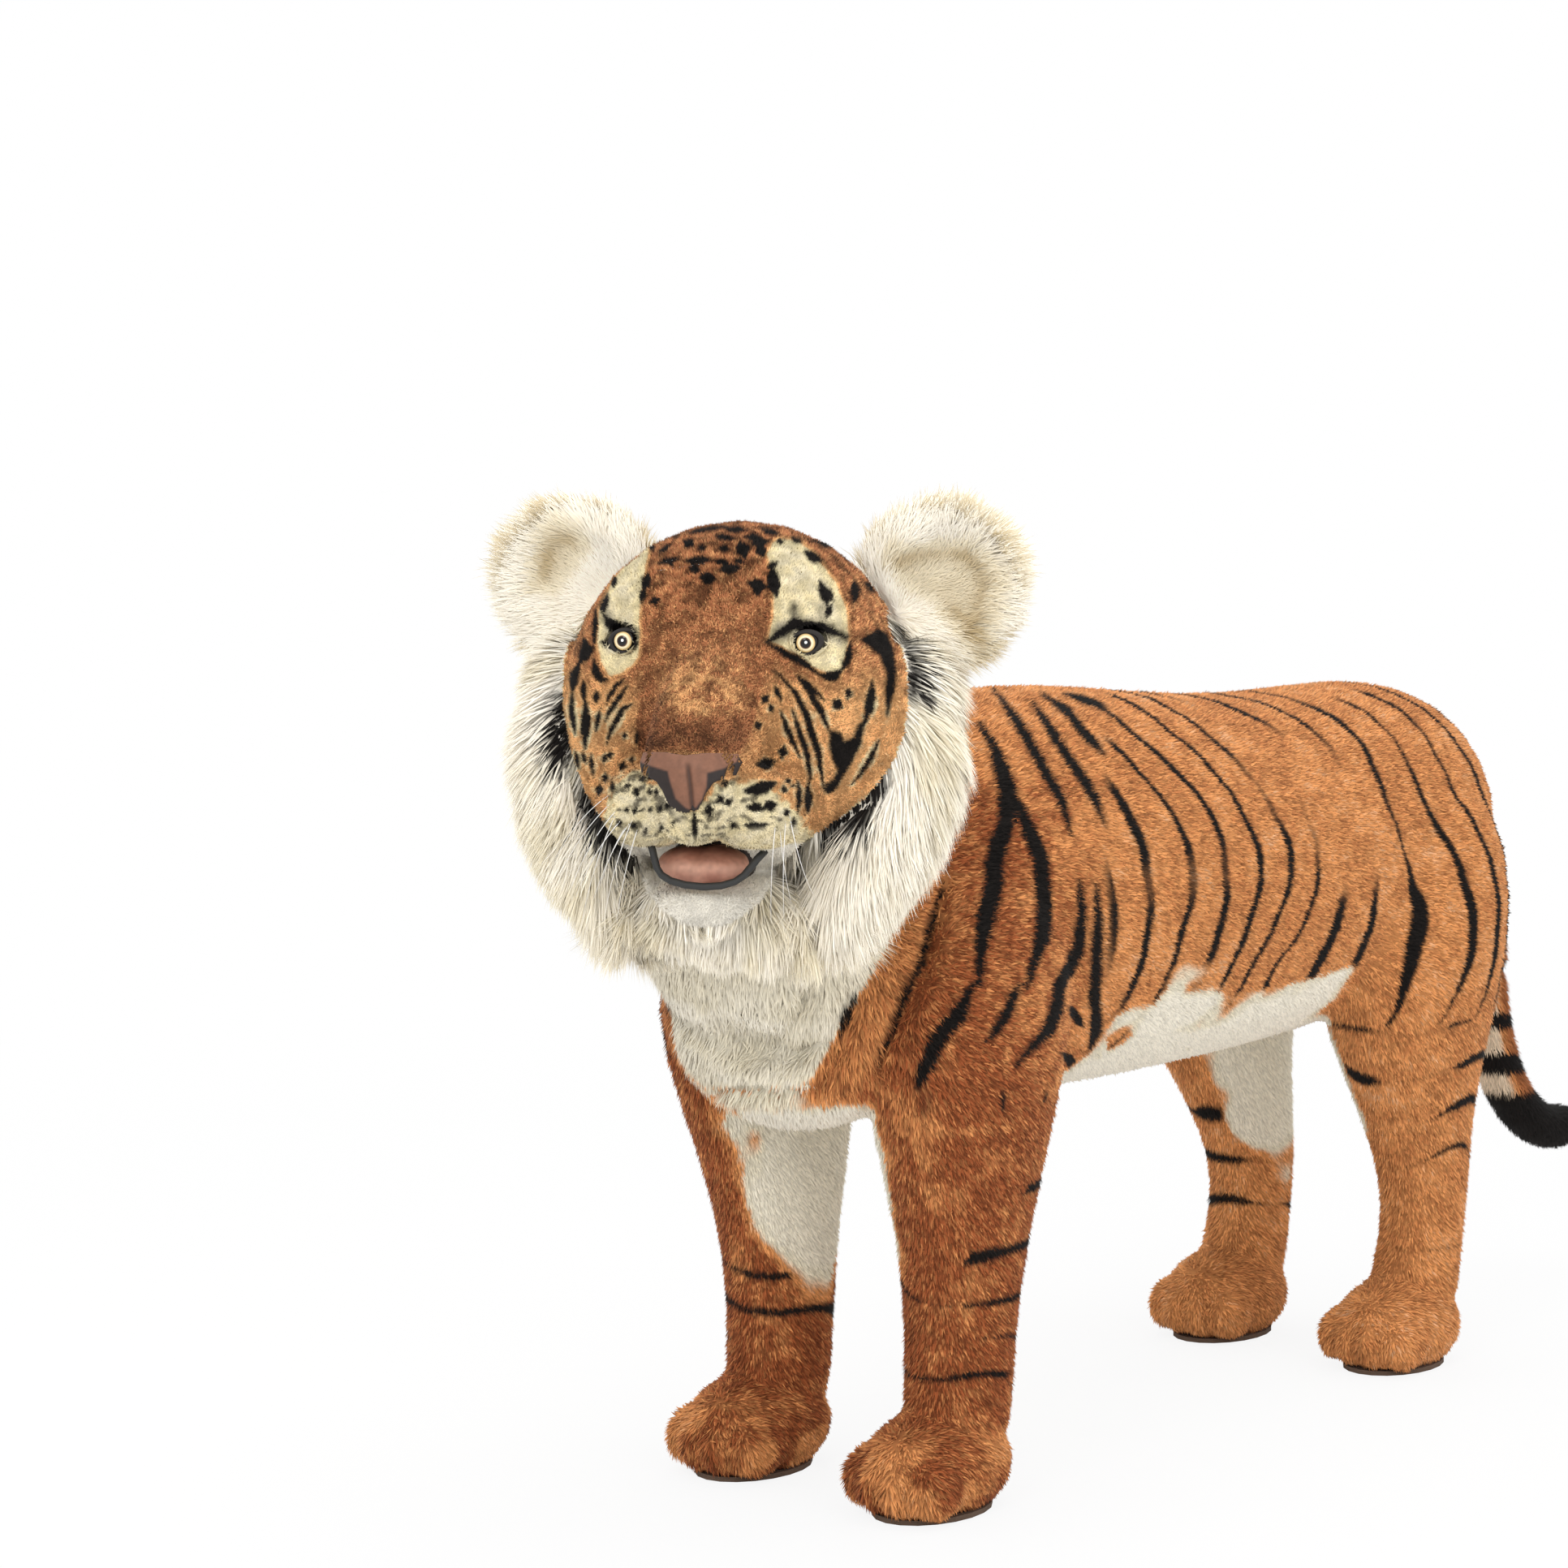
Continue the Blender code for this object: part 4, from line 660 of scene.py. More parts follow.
def faceMasks(points, normals):  # stripe and shade of the head's coat, then the short pile's share
    mirrored = points - 2 * ((points - headMiddle) @ sideAxis)[:, None] * sideAxis
    local = toHead(points)
    hidden = (facing(points, normals) < 0.05) & (local[:, 0] < -0.075)
    spots = np.where(hidden[:, None], toPhoto(mirrored), toPhoto(points))  # the far cheek copies the near one
    spots = spots + (np.stack((cloud(points, 0.005, 3), cloud(points, 0.005, 4)), 1) - 0.5) * 1.6
    stripe, halo = np.zeros(len(points)), np.zeros(len(points))
    for width, line in faceStrokes:
        stripe = np.maximum(stripe, stroke(spots, line, width * (1.35 if line[0][1] > 915 else 1.15) + 1.5))
        halo = np.maximum(halo, stroke(spots, line, width + 12))
    for outline in facePatches:
        stripe = np.maximum(stripe, patch(spots, outline))
        halo = np.maximum(halo, patch(spots, outline, 6.0))
    for reach, strength, line in faceSmudges:
        gap, _ = lineDistance(spots, line)
        stripe = np.maximum(stripe, strength * smooth(reach, 2.0, gap) * (0.45 + cloud(points, 0.0035, 16)))
    for middle, reach in eyeRings:
        stripe = np.maximum(stripe, 1 - smooth(reach - 2, reach + 1, np.linalg.norm(spots - middle, axis=1)))
    pale = np.zeros(len(points))
    muzzle = np.zeros(len(points))
    jag = (np.stack((cloud(points, 0.0035, 13), cloud(points, 0.008, 14)), 1) - 0.5) * 22.0
    for outline in palePatches:
        low = outline[0][1] > 900
        inner = 0.56 + 0.30 * patch(spots, outline, 15.0)
        edge = patch(spots + jag * low, outline, 14.0 if low else 4.0)
        pale = np.maximum(pale, edge * inner)
        muzzle = np.maximum(muzzle, edge * low)
    chin = patch(spots, chinPatch, 9.0) * smooth(-0.10, -0.11, local[:, 2]) * smooth(0.03, 0.05, local[:, 1])
    ahead = smooth(-0.02, 0.01, local[:, 1])
    back = 1 - ahead
    pale, halo = pale * ahead, halo * ahead
    brown = patch(spots, brownPatch, 15.0) * ahead
    speckle = cloud(points, 0.0030, 5) * 0.6 + cloud(points, 0.010, 6) * 0.4
    cheek = smooth(800, 880, spots[:, 1]) * (1 - brown) * ahead
    shade = 0.03 + 0.12 * smooth(0.45, 0.8, speckle) + 0.26 * cheek + 0.10 * smooth(0.10, 0.14, np.abs(local[:, 0]))
    shade = shade + 0.26 * halo * cheek * smooth(0.1, 0.5, speckle)
    light = brown * smooth(770, 850, spots[:, 1]) * (1 - smooth(868, 900, spots[:, 1]))  # painted highlight down the middle of the nose's back
    light = light * smooth(66, 30, np.abs(spots[:, 0] - 864))
    # painted shade at the foot of the nose's back, just above the nose
    dark = brown * smooth(868, 916, spots[:, 1])
    shade = np.where(brown > 0.5, 0.02 + 0.10 * speckle + 0.34 * light * smooth(0.2, 0.8, speckle) - 0.2 * dark, shade)
    pale = pale * (0.90 + 0.10 * cloud(points, 0.008, 7))
    below = smooth(-0.118, -0.128, local[:, 2]) * smooth(0.105, 0.090, np.abs(local[:, 0])) * ahead  # lower jaw
    shade = np.maximum(np.maximum(shade, pale), below)
    stripe = np.maximum(stripe, 0.8 * muzzle * smooth(0.52, 0.78, cloud(points * (1, 1, 1.8), 0.0060, 9)))
    # that painted shade above the nose also darkens the stripe channel
    stripe = np.maximum(stripe * (1 - below * (spots[:, 1] > 1036)), 0.45 * dark)
    # painted shade on the lower jaw under the muzzle, strongest in the middle
    paintedChinShade = 0.18 * below * (0.5 + 0.8 * cloud(points, 0.02, 15)) * smooth(0.075, 0.045, np.abs(local[:, 0]))
    rear = np.abs(np.sin(local[:, 2] * 75 + local[:, 0] * 18 + 3.0 * cloud(points, 0.09, 21)))
    rearStripe = smooth(0.90, 0.97, rear) * smooth(0.25, 0.45, cloud(points, 0.06, 22))  # guessed
    stripe = stripe * ahead * (1 - chin) + back * rearStripe * (local[:, 2] > -0.02) + paintedChinShade
    short = np.maximum(patch(spots, maskOutline, 3.0), chin) * ahead
    short = short + back * smooth(-0.06, -0.02, local[:, 2]) * smooth(0.150, 0.125, np.abs(local[:, 0]))
    return stripe, shade, short, spots


def tuftMasks(points, normals):  # the black tufts beside the face
    jag = np.stack((cloud(points, 0.005, 83), cloud(points, 0.005, 84)), 1) - 0.5
    dark = np.zeros(len(points))
    for outline in tuftPatches:
        dark = np.maximum(dark, patch(toPhoto(points) + jag * 16.0, outline, 7.0))
    return dark * (facing(points, normals) > -0.6) * smooth(-0.11, -0.09, toHead(points)[:, 1]), None


stripes = {  # of the parts that the photograph doesn't show; spacings, half widths and heights in metres
    "spacing": 0.064, "half": 0.0072, "tilt": 0.24, "edge": 0.0015, "legSpacing": 0.058, "legHalf": 0.008,
    "lowest": 0.13}


def guessedStripes(points):
    y, z = points[:, 1], points[:, 2]
    spacing, edge = stripes["spacing"], stripes["edge"]
    wave = cloud(points, 0.16, 31) * 1.1 + cloud(points, 0.06, 32) * 0.25
    slanted = y + stripes["tilt"] * np.sqrt((z - 0.58) ** 2 + 0.0016)
    line = np.abs((slanted / spacing + wave) % 1.0 - 0.5) * spacing
    wide = stripes["half"] * smooth(0.34, 0.50, z) * (0.35 + 1.1 * cloud(points, 0.10, 33))
    flank = (1 - smooth(-edge, edge, line - wide)) * smooth(0.20, 0.34, cloud(points, 0.12, 34))
    bands = (z / stripes["legSpacing"] + cloud(points, 0.12, 35) * 1.6) % 1.0 - 0.5
    outer = smooth(0.28, 0.5, cloud(points, 0.09, 36)) * (0.5 + 0.6 * cloud(points, 0.05, 38))
    leg = 1 - smooth(-edge, edge, np.abs(bands) * stripes["legSpacing"] - stripes["legHalf"] * outer)
    leg = leg * (z > stripes["lowest"])
    leg = leg * (y > 0.1) + leg * (y <= 0.1) * (cloud(points, 0.2, 37) > 0.42)
    return np.where(smooth(0.44, 0.36, z) > 0.5, leg, flank)


def bodyMasks(points, normals):  # stripe and shade of the body's coat
    mirrored = points * (-1, 1, 1) + (2 * centreLine, 0, 0)
    hidden = (facing(points, normals) < 0.05) | (points[:, 0] < centreLine - 0.10)
    hidden &= points[:, 0] < centreLine
    spots = np.where(hidden[:, None], toPhoto(mirrored), toPhoto(points))  # the right side copies the left
    spots = spots + (np.stack((cloud(points, 0.012, 3), cloud(points, 0.012, 4)), 1) - 0.5) * 2.2
    x, y, z = np.abs(points[:, 0] - centreLine), points[:, 1], points[:, 2]
    stripe = np.zeros(len(points))
    for width, line in flankStrokes:
        stripe = np.maximum(stripe, stroke(spots, line, width * 1.2 + 3, 0.25))
    chest = patch(spots, chestPatch, 5.0)
    tan = patch(spots, tanPatch, 10.0)
    shown = (spots[:, 0] < 1364) & (spots[:, 1] < 1346)
    near = (1 - smooth(1356, 1372, spots[:, 0])) * (1 - smooth(1338, 1352, spots[:, 1]))
    behindChest, leg = smooth(-0.62, -0.50, y), smooth(0.44, 0.36, z)
    stripe = stripe * near + guessedStripes(points) * (1 - near) * behindChest
    tilt = -normals[:, 2] + 0.6 * (cloud(points, 0.06, 45) - 0.55) + 0.12 * (cloud(points, 0.02, 47) - 0.5)
    outside = smooth(0.095, 0.12, x) * (1 - smooth(-0.30, -0.25, y) * smooth(0.20, 0.14, y))
    belly = smooth(0.3, 0.62, tilt) * smooth(0.30, 0.36, z) * smooth(0.56, 0.50, z) * (1 - outside)
    inward = -normals[:, 0] * np.sign(points[:, 0] - centreLine) + 0.5 * (cloud(points, 0.035, 44) - 0.5)
    inner = smooth(0.2, 0.7, inward - 0.9 * smooth(0.28, 0.11, z)) * smooth(0.5, 0.4, z)
    speckle = cloud(points, 0.012, 41) * 0.5 + cloud(points, 0.035, 42) * 0.5
    shoulder = smooth(1390, 1230, spots[:, 0]) * smooth(900, 1000, spots[:, 1]) * (y < -0.2)
    shade = 0.28 + 0.22 * smooth(0.35, 0.85, speckle) - 0.24 * shoulder
    shade = np.maximum(shade, np.maximum(0.9 * belly, 0.85 * inner))
    low = smooth(1250, 1300, spots[:, 1]) * smooth(1344, 1360, spots[:, 0]) * shown
    shade = np.maximum(shade, low * 0.9)
    throat = smooth(-0.56, -0.66, y) * smooth(0.4, 0.8, -normals[:, 1]) * (z > 0.35)
    nape = smooth(0.32, 0.55, 0.8 * normals[:, 1] + 0.5 * normals[:, 2] + 0.2 * (cloud(points, 0.03, 50) - 0.5))
    chest = chest * (1 - nape * (z > 0.6))
    shade = np.maximum(shade, np.where(shown, chest, throat) * (0.78 + 0.10 * cloud(points, 0.03, 48)))
    shade = np.where(tan * (1 - chest) > 0.2, 0.16 + 0.20 * speckle, shade)
    paw = smooth(0.10, 0.06, z) * smooth(0.35, 0.6, cloud(points, 0.03, 43))
    shade = np.maximum(shade, 0.35 * paw)
    return stripe * (1 - smooth(0.3, 0.7, np.maximum(belly, inner * leg))), shade, spots


# skins

faceBumps = (  # place, reach and height, on both sides
    ((0.084, 0.085, 0.056), (0.042, 0.08, 0.030), -0.006),
    ((0.080, 0.085, 0.092), (0.055, 0.08, 0.028), 0.006),
    ((0.074, 0.120, 0.015), (0.026, 0.06, 0.040), -0.003),
    ((0.060, 0.125, -0.152), (0.020, 0.06, 0.022), 0.012))
furMaterial = coatMaterial("shortPlush", spread=1.15)
flankMaterial = coatMaterial("bodyPlush", "flank", "ivory", "bodyTan")
longMaterial = coatMaterial("longPlush", "rust", "ivory", "cream", 0.7, 1.03)
print("making the head's skin")
headNodes = ["head", "snout", "muzzle_left", "muzzle_right", "lower_jaw", "ruff_left", "ruff_right", "ruff_throat"]
headPoints, headTris = remeshed(headNodes, 0.0036, 14)


def carveFace(points, tris):
    normals = vertexNormals(points, tris)
    local = toHead(points)
    mirror = local * (-1, 1, 1)
    move = np.zeros(len(points))
    for side in (local, mirror):
        for middle, radii, height in faceBumps:
            gap = np.linalg.norm((side - np.array(middle)) / np.array(radii), axis=1)
            move += height * (1 - smooth(0.0, 1.0, gap))
    side = np.abs(local[:, 0])
    move += 0.006 * np.exp(-((side - 0.112) / 0.035) ** 2 - ((local[:, 2] + 0.085) / 0.045) ** 2) * (local[:, 1] > 0.03)
    long = 1 - faceMasks(points, normals)[2]
    move -= 0.008 * smooth(0.5, 1.0, long) * smooth(0.04, 0.0, local[:, 2])
    move -= 0.008 * smooth(0.5, 1.0, long) * smooth(-0.10, -0.14, local[:, 2]) * smooth(0.10, 0.08, side)
    return points + normals * move[:, None]


headPoints = carveFace(headPoints, headTris)
local = toHead(headPoints)
across = np.abs(local[:, 0])  # the creases beside the nose and in the muzzle pads are eased
ease = smooth(0.10, 0.075, across) * smooth(0.055, 0.075, local[:, 1])
ease = ease * smooth(-0.045, -0.02, local[:, 2]) * smooth(0.13, 0.10, local[:, 2])
ease = ease * (1 - smooth(0.028, 0.018, np.hypot(across - 0.084, local[:, 2] - 0.056)))
pads = smooth(0.055, 0.075, across) * smooth(0.125, 0.11, across) * smooth(0.05, 0.07, local[:, 1])
pads = pads * smooth(-0.115, -0.09, local[:, 2]) * smooth(-0.02, -0.05, local[:, 2])
ease = np.maximum(ease, 0.8 * pads)[:, None]
headPoints = headPoints * (1 - ease) + relax(headPoints, headTris, 36, 0.5, False) * ease
headPoints = relax(headPoints, headTris, 2)
headNormals = vertexNormals(headPoints, headTris)

print("making the body's skin")
bodyNodes = ["trunk", "neck"] + [
    f"{row}_{side}_{part}" for row in ("front", "hind") for side in ("left", "right") for part in ("leg", "paw")]
bodyPoints, bodyTris = remeshed(bodyNodes, 0.0075, 6)
bodyNormals = vertexNormals(bodyPoints, bodyTris)
spots = toPhoto(bodyPoints)
seen = smooth(0.0, 0.2, facing(bodyPoints, bodyNormals))
fold = np.zeros(len(bodyPoints))
for width, depth, line in chestFolds:
    fold += depth * stroke(spots, line, width, 0.45) * seen
bodyPoints = relax(bodyPoints + bodyNormals * fold[:, None], bodyTris, 1)
bodyNormals = vertexNormals(bodyPoints, bodyTris)

headTree, bodyTree = treeOf(headPoints, headTris), treeOf(bodyPoints, bodyTris)
local = toHead(headPoints)
ahead = local[:, 1] > -0.06
headHidden = np.where(
    ahead, covered(headPoints, headNormals, headTree, 0.008), covered(headPoints, headNormals, headTree, 0.03))
headHidden |= covered(headPoints, headNormals, bodyTree, 0.02)
bodyHidden = covered(bodyPoints, bodyNormals, bodyTree, 0.012) | covered(bodyPoints, bodyNormals, headTree, 0.03)


def skinObject(name, points, tris, masks, dress, replaced, tone=0.25, along=0.15):
    made = meshObject(name, points, tris)
    # the skin gets a low along value, so it is darkened as painted shade under the pile
    setCoat(made, np.column_stack((masks[0], masks[1], np.full(len(points), tone), np.full(len(points), along))))
    show(made, *dress)
    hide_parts(*replaced)


rng = np.random.default_rng(4)
headSkinMasks = list(faceMasks(headPoints, headNormals))
headSkinMasks[1] = np.maximum(headSkinMasks[1], smooth(0.6, 0.2, headSkinMasks[2]))
headDress, bodyDress = ("head", furMaterial, "striped_plush"), ("body", flankMaterial, "striped_plush")
skinObject("headSkin", headPoints, headTris, headSkinMasks, headDress, headNodes)
skinObject("bodySkin", bodyPoints, bodyTris, bodyMasks(bodyPoints, bodyNormals), bodyDress, bodyNodes)

print("growing the face's pile")
facePile = {
    "length": 0.0062, "width": 0.0013, "perSquareMetre": 950000, "lift": 22.0, "grain": 0.30, "segments": 2,
    "jitter": 0.16, "painted": 0.45}  # painted: where on a strand its marking is looked up
roots, normals = scatter(
    headPoints, headTris, headNormals, facePile["perSquareMetre"],
    (headSkinMasks[2] > 0.05) * ~headHidden * 1.0, rng)
local = toHead(roots)
aim = turnHead(local - np.array((0, 0.187, -0.075)))  # away from the nose
ahead = roots + unit(aim) * facePile["length"] * facePile["painted"]
stripe, shade, short, spots = faceMasks(ahead, normals)
keep = (short > 0.4) & (rng.random(len(roots)) < np.where(facing(roots, normals) > 0, 1.0, 0.35))
tone = 0.25 * rng.random(len(roots)) + 0.75 * smooth(
    0.28, 0.72, 0.65 * cloud(roots, 0.0050, 8) + 0.35 * cloud(roots, 0.011, 9))
masks = np.stack((stripe, shade, tone), 1)[keep]
lift = facePile["lift"] * (1 + smooth(0.06, 0.13, local[keep][:, 2]))
growFur(
    "facePile", roots[keep], normals[keep], aim[keep], facePile, facePile["length"], lift, masks, headDress,
    rng, faceMasks)

print("growing the ruff")
ruffPile = {
    "length": 0.058, "width": 0.0018, "perSquareMetre": 400000, "lift": 6.5, "segments": 3, "droop": 0.12,
    "bend": 0.07, "clump": 0.035, "jitter": 0.07, "round": 0.05, "streak": 0.22, "tuftShare": 0.7,
    "rimLift": 24.0}
ruffLess = {"low": 0.45, "tuft": 0.4, "rim": 0.22, "far": 0.22, "short": 0.6}  # how much shorter there
roots, normals = scatter(
    headPoints, headTris, headNormals, ruffPile["perSquareMetre"],
    (headSkinMasks[2] < 0.95) * ~headHidden * 1.0, rng)
local = toHead(roots)
radial = unit(local * (1, 0, 1))
high = smooth(-0.08, 0.05, local[:, 2])[:, None]  # there the hair points outward, lower down it hangs
aim = turnHead(radial * (0.35 + 0.6 * high) + np.array((0, -0.15, -1.0)) * (1 - 0.45 * high))
stripe, shade, short, spots = faceMasks(roots, normals)
keep = short < 0.35 + 0.45 * rng.random(len(roots))
tuft = tuftMasks(roots, normals)[0] * (rng.random(len(roots)) < ruffPile["tuftShare"])
streak = 0.5 * cloud(roots, 0.03, 81) + 0.5 * cloud(roots * (1, 1, 0.4), 0.010, 82)
masks = np.stack((
    tuft, 1.0 - ruffPile["streak"] * smooth(0.25, 0.8, streak), rng.random(len(roots))), 1)[keep]
length = ruffPile["length"] * (0.85 + 0.15 * smooth(0.05, -0.08, local[:, 2]))
length = length * (1 - ruffLess["low"] * smooth(-0.19, -0.25, local[:, 2])) * (1 - ruffLess["tuft"] * (tuft > 0))
front = smooth(0.085, 0.06, np.abs(local[:, 0])) * smooth(-0.12, -0.15, local[:, 2])  # under the chin
outer = smooth(0.09, 0.13, local[:, 0]) * smooth(-0.09, -0.03, local[:, 2]) * smooth(0.10, 0.06, local[:, 2])
far = smooth(-0.10, -0.14, local[:, 0])
rim = np.maximum(patch(spots, maskOutline, 44.0), patch(spots, chinPatch, 34.0))  # beside the short pile
rim = smooth(0.0, 0.5, rim) * smooth(-0.08, -0.04, local[:, 1])
lift = ruffPile["lift"] + ruffPile["rimLift"] * rim * (1 - 0.35 * smooth(0.09, 0.12, local[:, 0]))
length = length * (1 - ruffLess["rim"] * rim * smooth(0.08, 0.11, local[:, 0]))
front = front * (0.08 + 0.54 * cloud(roots, 0.022, 85))
length = length * (1 - front) * (1 + 0.04 * outer) * (1 - ruffLess["far"] * far) * (1 - ruffLess["short"] * short)
growFur(
    "ruff", roots[keep], normals[keep], aim[keep], ruffPile, length[keep], lift[keep], masks,
    ("head", longMaterial, "long_cream_plush"), rng, tuftMasks, upAxis * 0.6)

print("growing the body's pile")
bodyPile = {
    "length": 0.0105, "width": 0.0024, "perSquareMetre": 210000, "lift": 22.0, "grain": 0.26, "segments": 2,
    "jitter": 0.2, "painted": 0.45, "chestMore": 0.9}
roots, normals = scatter(
    bodyPoints, bodyTris, bodyNormals, bodyPile["perSquareMetre"], ~bodyHidden * 1.0, rng)
down = 0.35 + 1.2 * smooth(0.50, 0.35, roots[:, 2])
aim = np.stack((np.zeros(len(roots)), np.full(len(roots), 1.0), -down), 1)
chest = smooth(-0.52, -0.64, roots[:, 1])
aim = aim * (1 - chest[:, None]) + np.array((0, 0.1, -1.0)) * chest[:, None]
ahead = roots + unit(aim) * bodyPile["length"] * bodyPile["painted"]
stripe, shade, spots = bodyMasks(ahead, normals)
masks = np.stack((stripe, shade, rng.random(len(roots))), 1)
parts = (("shoulderPile", -9, -0.36), ("flankPile", -0.36, 0.02), ("rumpPile", 0.02, 0.34), ("haunchPile", 0.34, 9))
for name, low, high in parts:
    keep = (roots[:, 1] >= low) & (roots[:, 1] < high)
    length = bodyPile["length"] * (1 + bodyPile["chestMore"] * chest[keep])
    growFur(
        name, roots[keep], normals[keep], aim[keep], bodyPile, length, bodyPile["lift"], masks[keep], bodyDress,
        rng, bodyMasks)


# tail

print("growing the tail")
tail = {  # spacing and half width of the rings, then heights
    "ring": 0.062, "halfRing": 0.0105, "highest": 0.676, "darkEnd": 0.25}
tailPile = {"length": 0.0126, "width": 0.0024, "perSquareMetre": 210000, "lift": 22.0}


def tailMasks(points, normals):
    rings = (tail["highest"] - points[:, 2]) / tail["ring"] + 0.35 * cloud(points, 0.05, 51)
    stripe = 1 - smooth(-0.001, 0.001, np.abs(rings % 1.0 - 0.5) * tail["ring"] - tail["halfRing"])
    stripe = np.maximum(stripe, smooth(tail["darkEnd"] + 0.005, tail["darkEnd"] - 0.005, points[:, 2]))
    return stripe, 0.15 + 0.5 * smooth(0.1, 0.6, -normals[:, 1])


for name, body in (("tail_base", "tail"), ("tail_tip", "tail_end")):
    points, tris = remeshed([name], 0.005, 4)
    normals = vertexNormals(points, tris)
    dress = (body, flankMaterial, "striped_plush")
    skinObject(f"{body}Skin", points, tris, tailMasks(points, normals), dress, [name])
    roots, normals = scatter(points, tris, normals, tailPile["perSquareMetre"], np.ones(len(points)), rng)
    stripe, shade = tailMasks(roots, normals)
    aim = np.broadcast_to(np.array((0.0, 0.45, -1.0)), roots.shape)
    growFur(
        f"{body}Pile", roots, normals, aim, tailPile, tailPile["length"], tailPile["lift"],
        np.stack((stripe, shade, rng.random(len(roots))), 1), dress, rng)


# ears

print("growing the ears")
ears = {"place": (0.170, -0.085, 0.100), "tilt": 52.0, "root": 0.045}  # from the head's middle
earPile = {
    "length": 0.036, "width": 0.0012, "perSquareMetre": 520000, "lift": 20.0, "segments": 3, "droop": 0.10,
    "bend": 0.12, "clump": 0.02, "jitter": 0.14, "round": 0.15}
# gain 1.14 paints the whole ear brighter: painted light for light shining through the ears
earMaterial = coatMaterial("earPlush", "hollow", "beige", "hollow", 0.3, 1.14)


def earMasks(points, normals, side):
    front, spots = smooth(0.0, 0.5, normals @ frontAxis), toPhoto(points)
    hollow = earHollowShades[side == "left"]
    gap, _ = lineDistance(spots, hollow[:len(hollow) - 3])
    # painted shade in the hollow, darkest close to the upper rim
    inside = patch(spots, hollow, 14.0) * (0.28 + 0.16 * smooth(34, 2, gap))
    mottle = 0.08 * front * cloud(points, 0.02, 46) + 0.28 * (1 - front) * cloud(points, 0.014, 49)
    return np.zeros(len(points)), 1.0 - front * inside - mottle


for side, sign in (("left", 1.0), ("right", -1.0)):
    dress = (f"ear_{side}", earMaterial, "long_cream_plush")
    points, tris = remeshed([f"ear_{side}"], 0.003, 4)
    normals = vertexNormals(points, tris)
    middle, tilt = fromHead(np.array(ears["place"]) * (sign, 1, 1))[0], math.radians(ears["tilt"])
    outward = turnHead(np.array([(sign * math.sin(tilt), 0, math.cos(tilt))]))[0]
    skinObject(
        f"ear{side.title()}Skin", points, tris, earMasks(points, normals, side), dress, [f"ear_{side}"],
        0.4, 0.2)
    outside = ~covered(points, normals, headTree, 0.01)
    roots, normals = scatter(points, tris, normals, earPile["perSquareMetre"], outside * 1.0, rng)
    stripe, shade = earMasks(roots, normals, side)
    radial = roots - (middle - outward * ears["root"])
    aim = unit(radial) + outward * 0.25
    reach = np.linalg.norm(roots - middle, axis=1)
    length = earPile["length"] * (0.35 + 0.75 * smooth(0.03, 0.068, reach))
    growFur(
        f"ear{side.title()}Pile", roots, normals, aim, earPile, length, earPile["lift"],
        np.stack((stripe, shade, rng.random(len(roots))), 1), dress, rng, None,
        smooth(0.0, 0.4, normals @ frontAxis)[:, None] * (upAxis * 0.7 + frontAxis * 0.6))


# eyes

print("making the eyes")
eyes = {
    "place": (0.084, 0.071, 0.056), "gaze": (0.10, 1.0, -0.02), "sparkWay": (0.03, 0, 0.06), "lidSteps": 40,
    "radius": 0.0134, "iris": (0.92, 0.80, 0.52), "gold": (0.70, 0.48, 0.20), "rim": (0.12, 0.05, 0.02),
    # spark, with the dot's radius and way: a painted highlight, a white dot on the pupil in place of a lamp's
    # reflection
    "spark": (0.95, 0.95, 0.93), "sparkRadius": 0.0016, "pupil": 0.0042, "irisRadius": 0.0084,
    "dark": (0.006, 0.004, 0.004), "lid": (0.02, 0.016, 0.014), "lidWide": 0.0118, "lidHigh": 0.0092,
    "lidRings": ((1.0, 1.0), (1.09, 1.07), (1.30, 0.96), (1.42, 0.72), (1.30, 0.5)), "roughness": 0.05}


def lidMesh(place):  # a felt rim in rings that lie over the ball's edge
    turns = np.linspace(0, math.tau, eyes["lidSteps"], endpoint=False)
    rings = []
    for radius, lead in eyes["lidRings"]:
        across = np.cos(turns) * (eyes["lidWide"] * radius)
        rise = np.sin(turns) * (eyes["lidHigh"] * radius) * np.where(np.sin(turns) > 0, 0.92, 1.0) + across * 0.10
        depth = eyes["radius"] ** 2 * 1.03 - (across / radius) ** 2 - (rise / radius) ** 2
        rings.append(np.stack((across, np.sqrt(np.maximum(depth, 1e-6)) * lead, rise), 1) + place)
    faces, size = [], eyes["lidSteps"]
    for row in range(len(rings) - 1):
        for step in range(size):
            a, b = row * size + step, row * size + (step + 1) % size
            faces.append((a, b, b + size, a + size))
    return fromHead(np.vstack(rings)), faces


eyeMaterial, shader, wire = newMaterial("eyeGlass", eyes["roughness"], {"Specular IOR Level": 0.4})
ring = wire.node("ShaderNodeAttribute", {"attribute_name": "ring"}, None, 2)
# the white dot on the pupil is a painted highlight
colour = ring.between(-0.0004, 0.0).mix(eyes["spark"], (0.004, 0.002, 0.002))
colour = ring.between(eyes["pupil"] - 0.0002, eyes["pupil"] + 0.0003).mix(colour, eyes["rim"])
colour = ring.between(eyes["pupil"] + 0.0006, eyes["pupil"] + 0.0013).mix(colour, eyes["iris"])
colour = ring.between(eyes["irisRadius"] - 0.0022, eyes["irisRadius"] - 0.0004).mix(colour, eyes["gold"])
colour = ring.between(eyes["irisRadius"] - 0.0003, eyes["irisRadius"] + 0.0003).mix(colour, eyes["dark"])
colour.feed(shader)
lidMaterial = newMaterial("lidFelt", 0.8, None, eyes["lid"])[0]
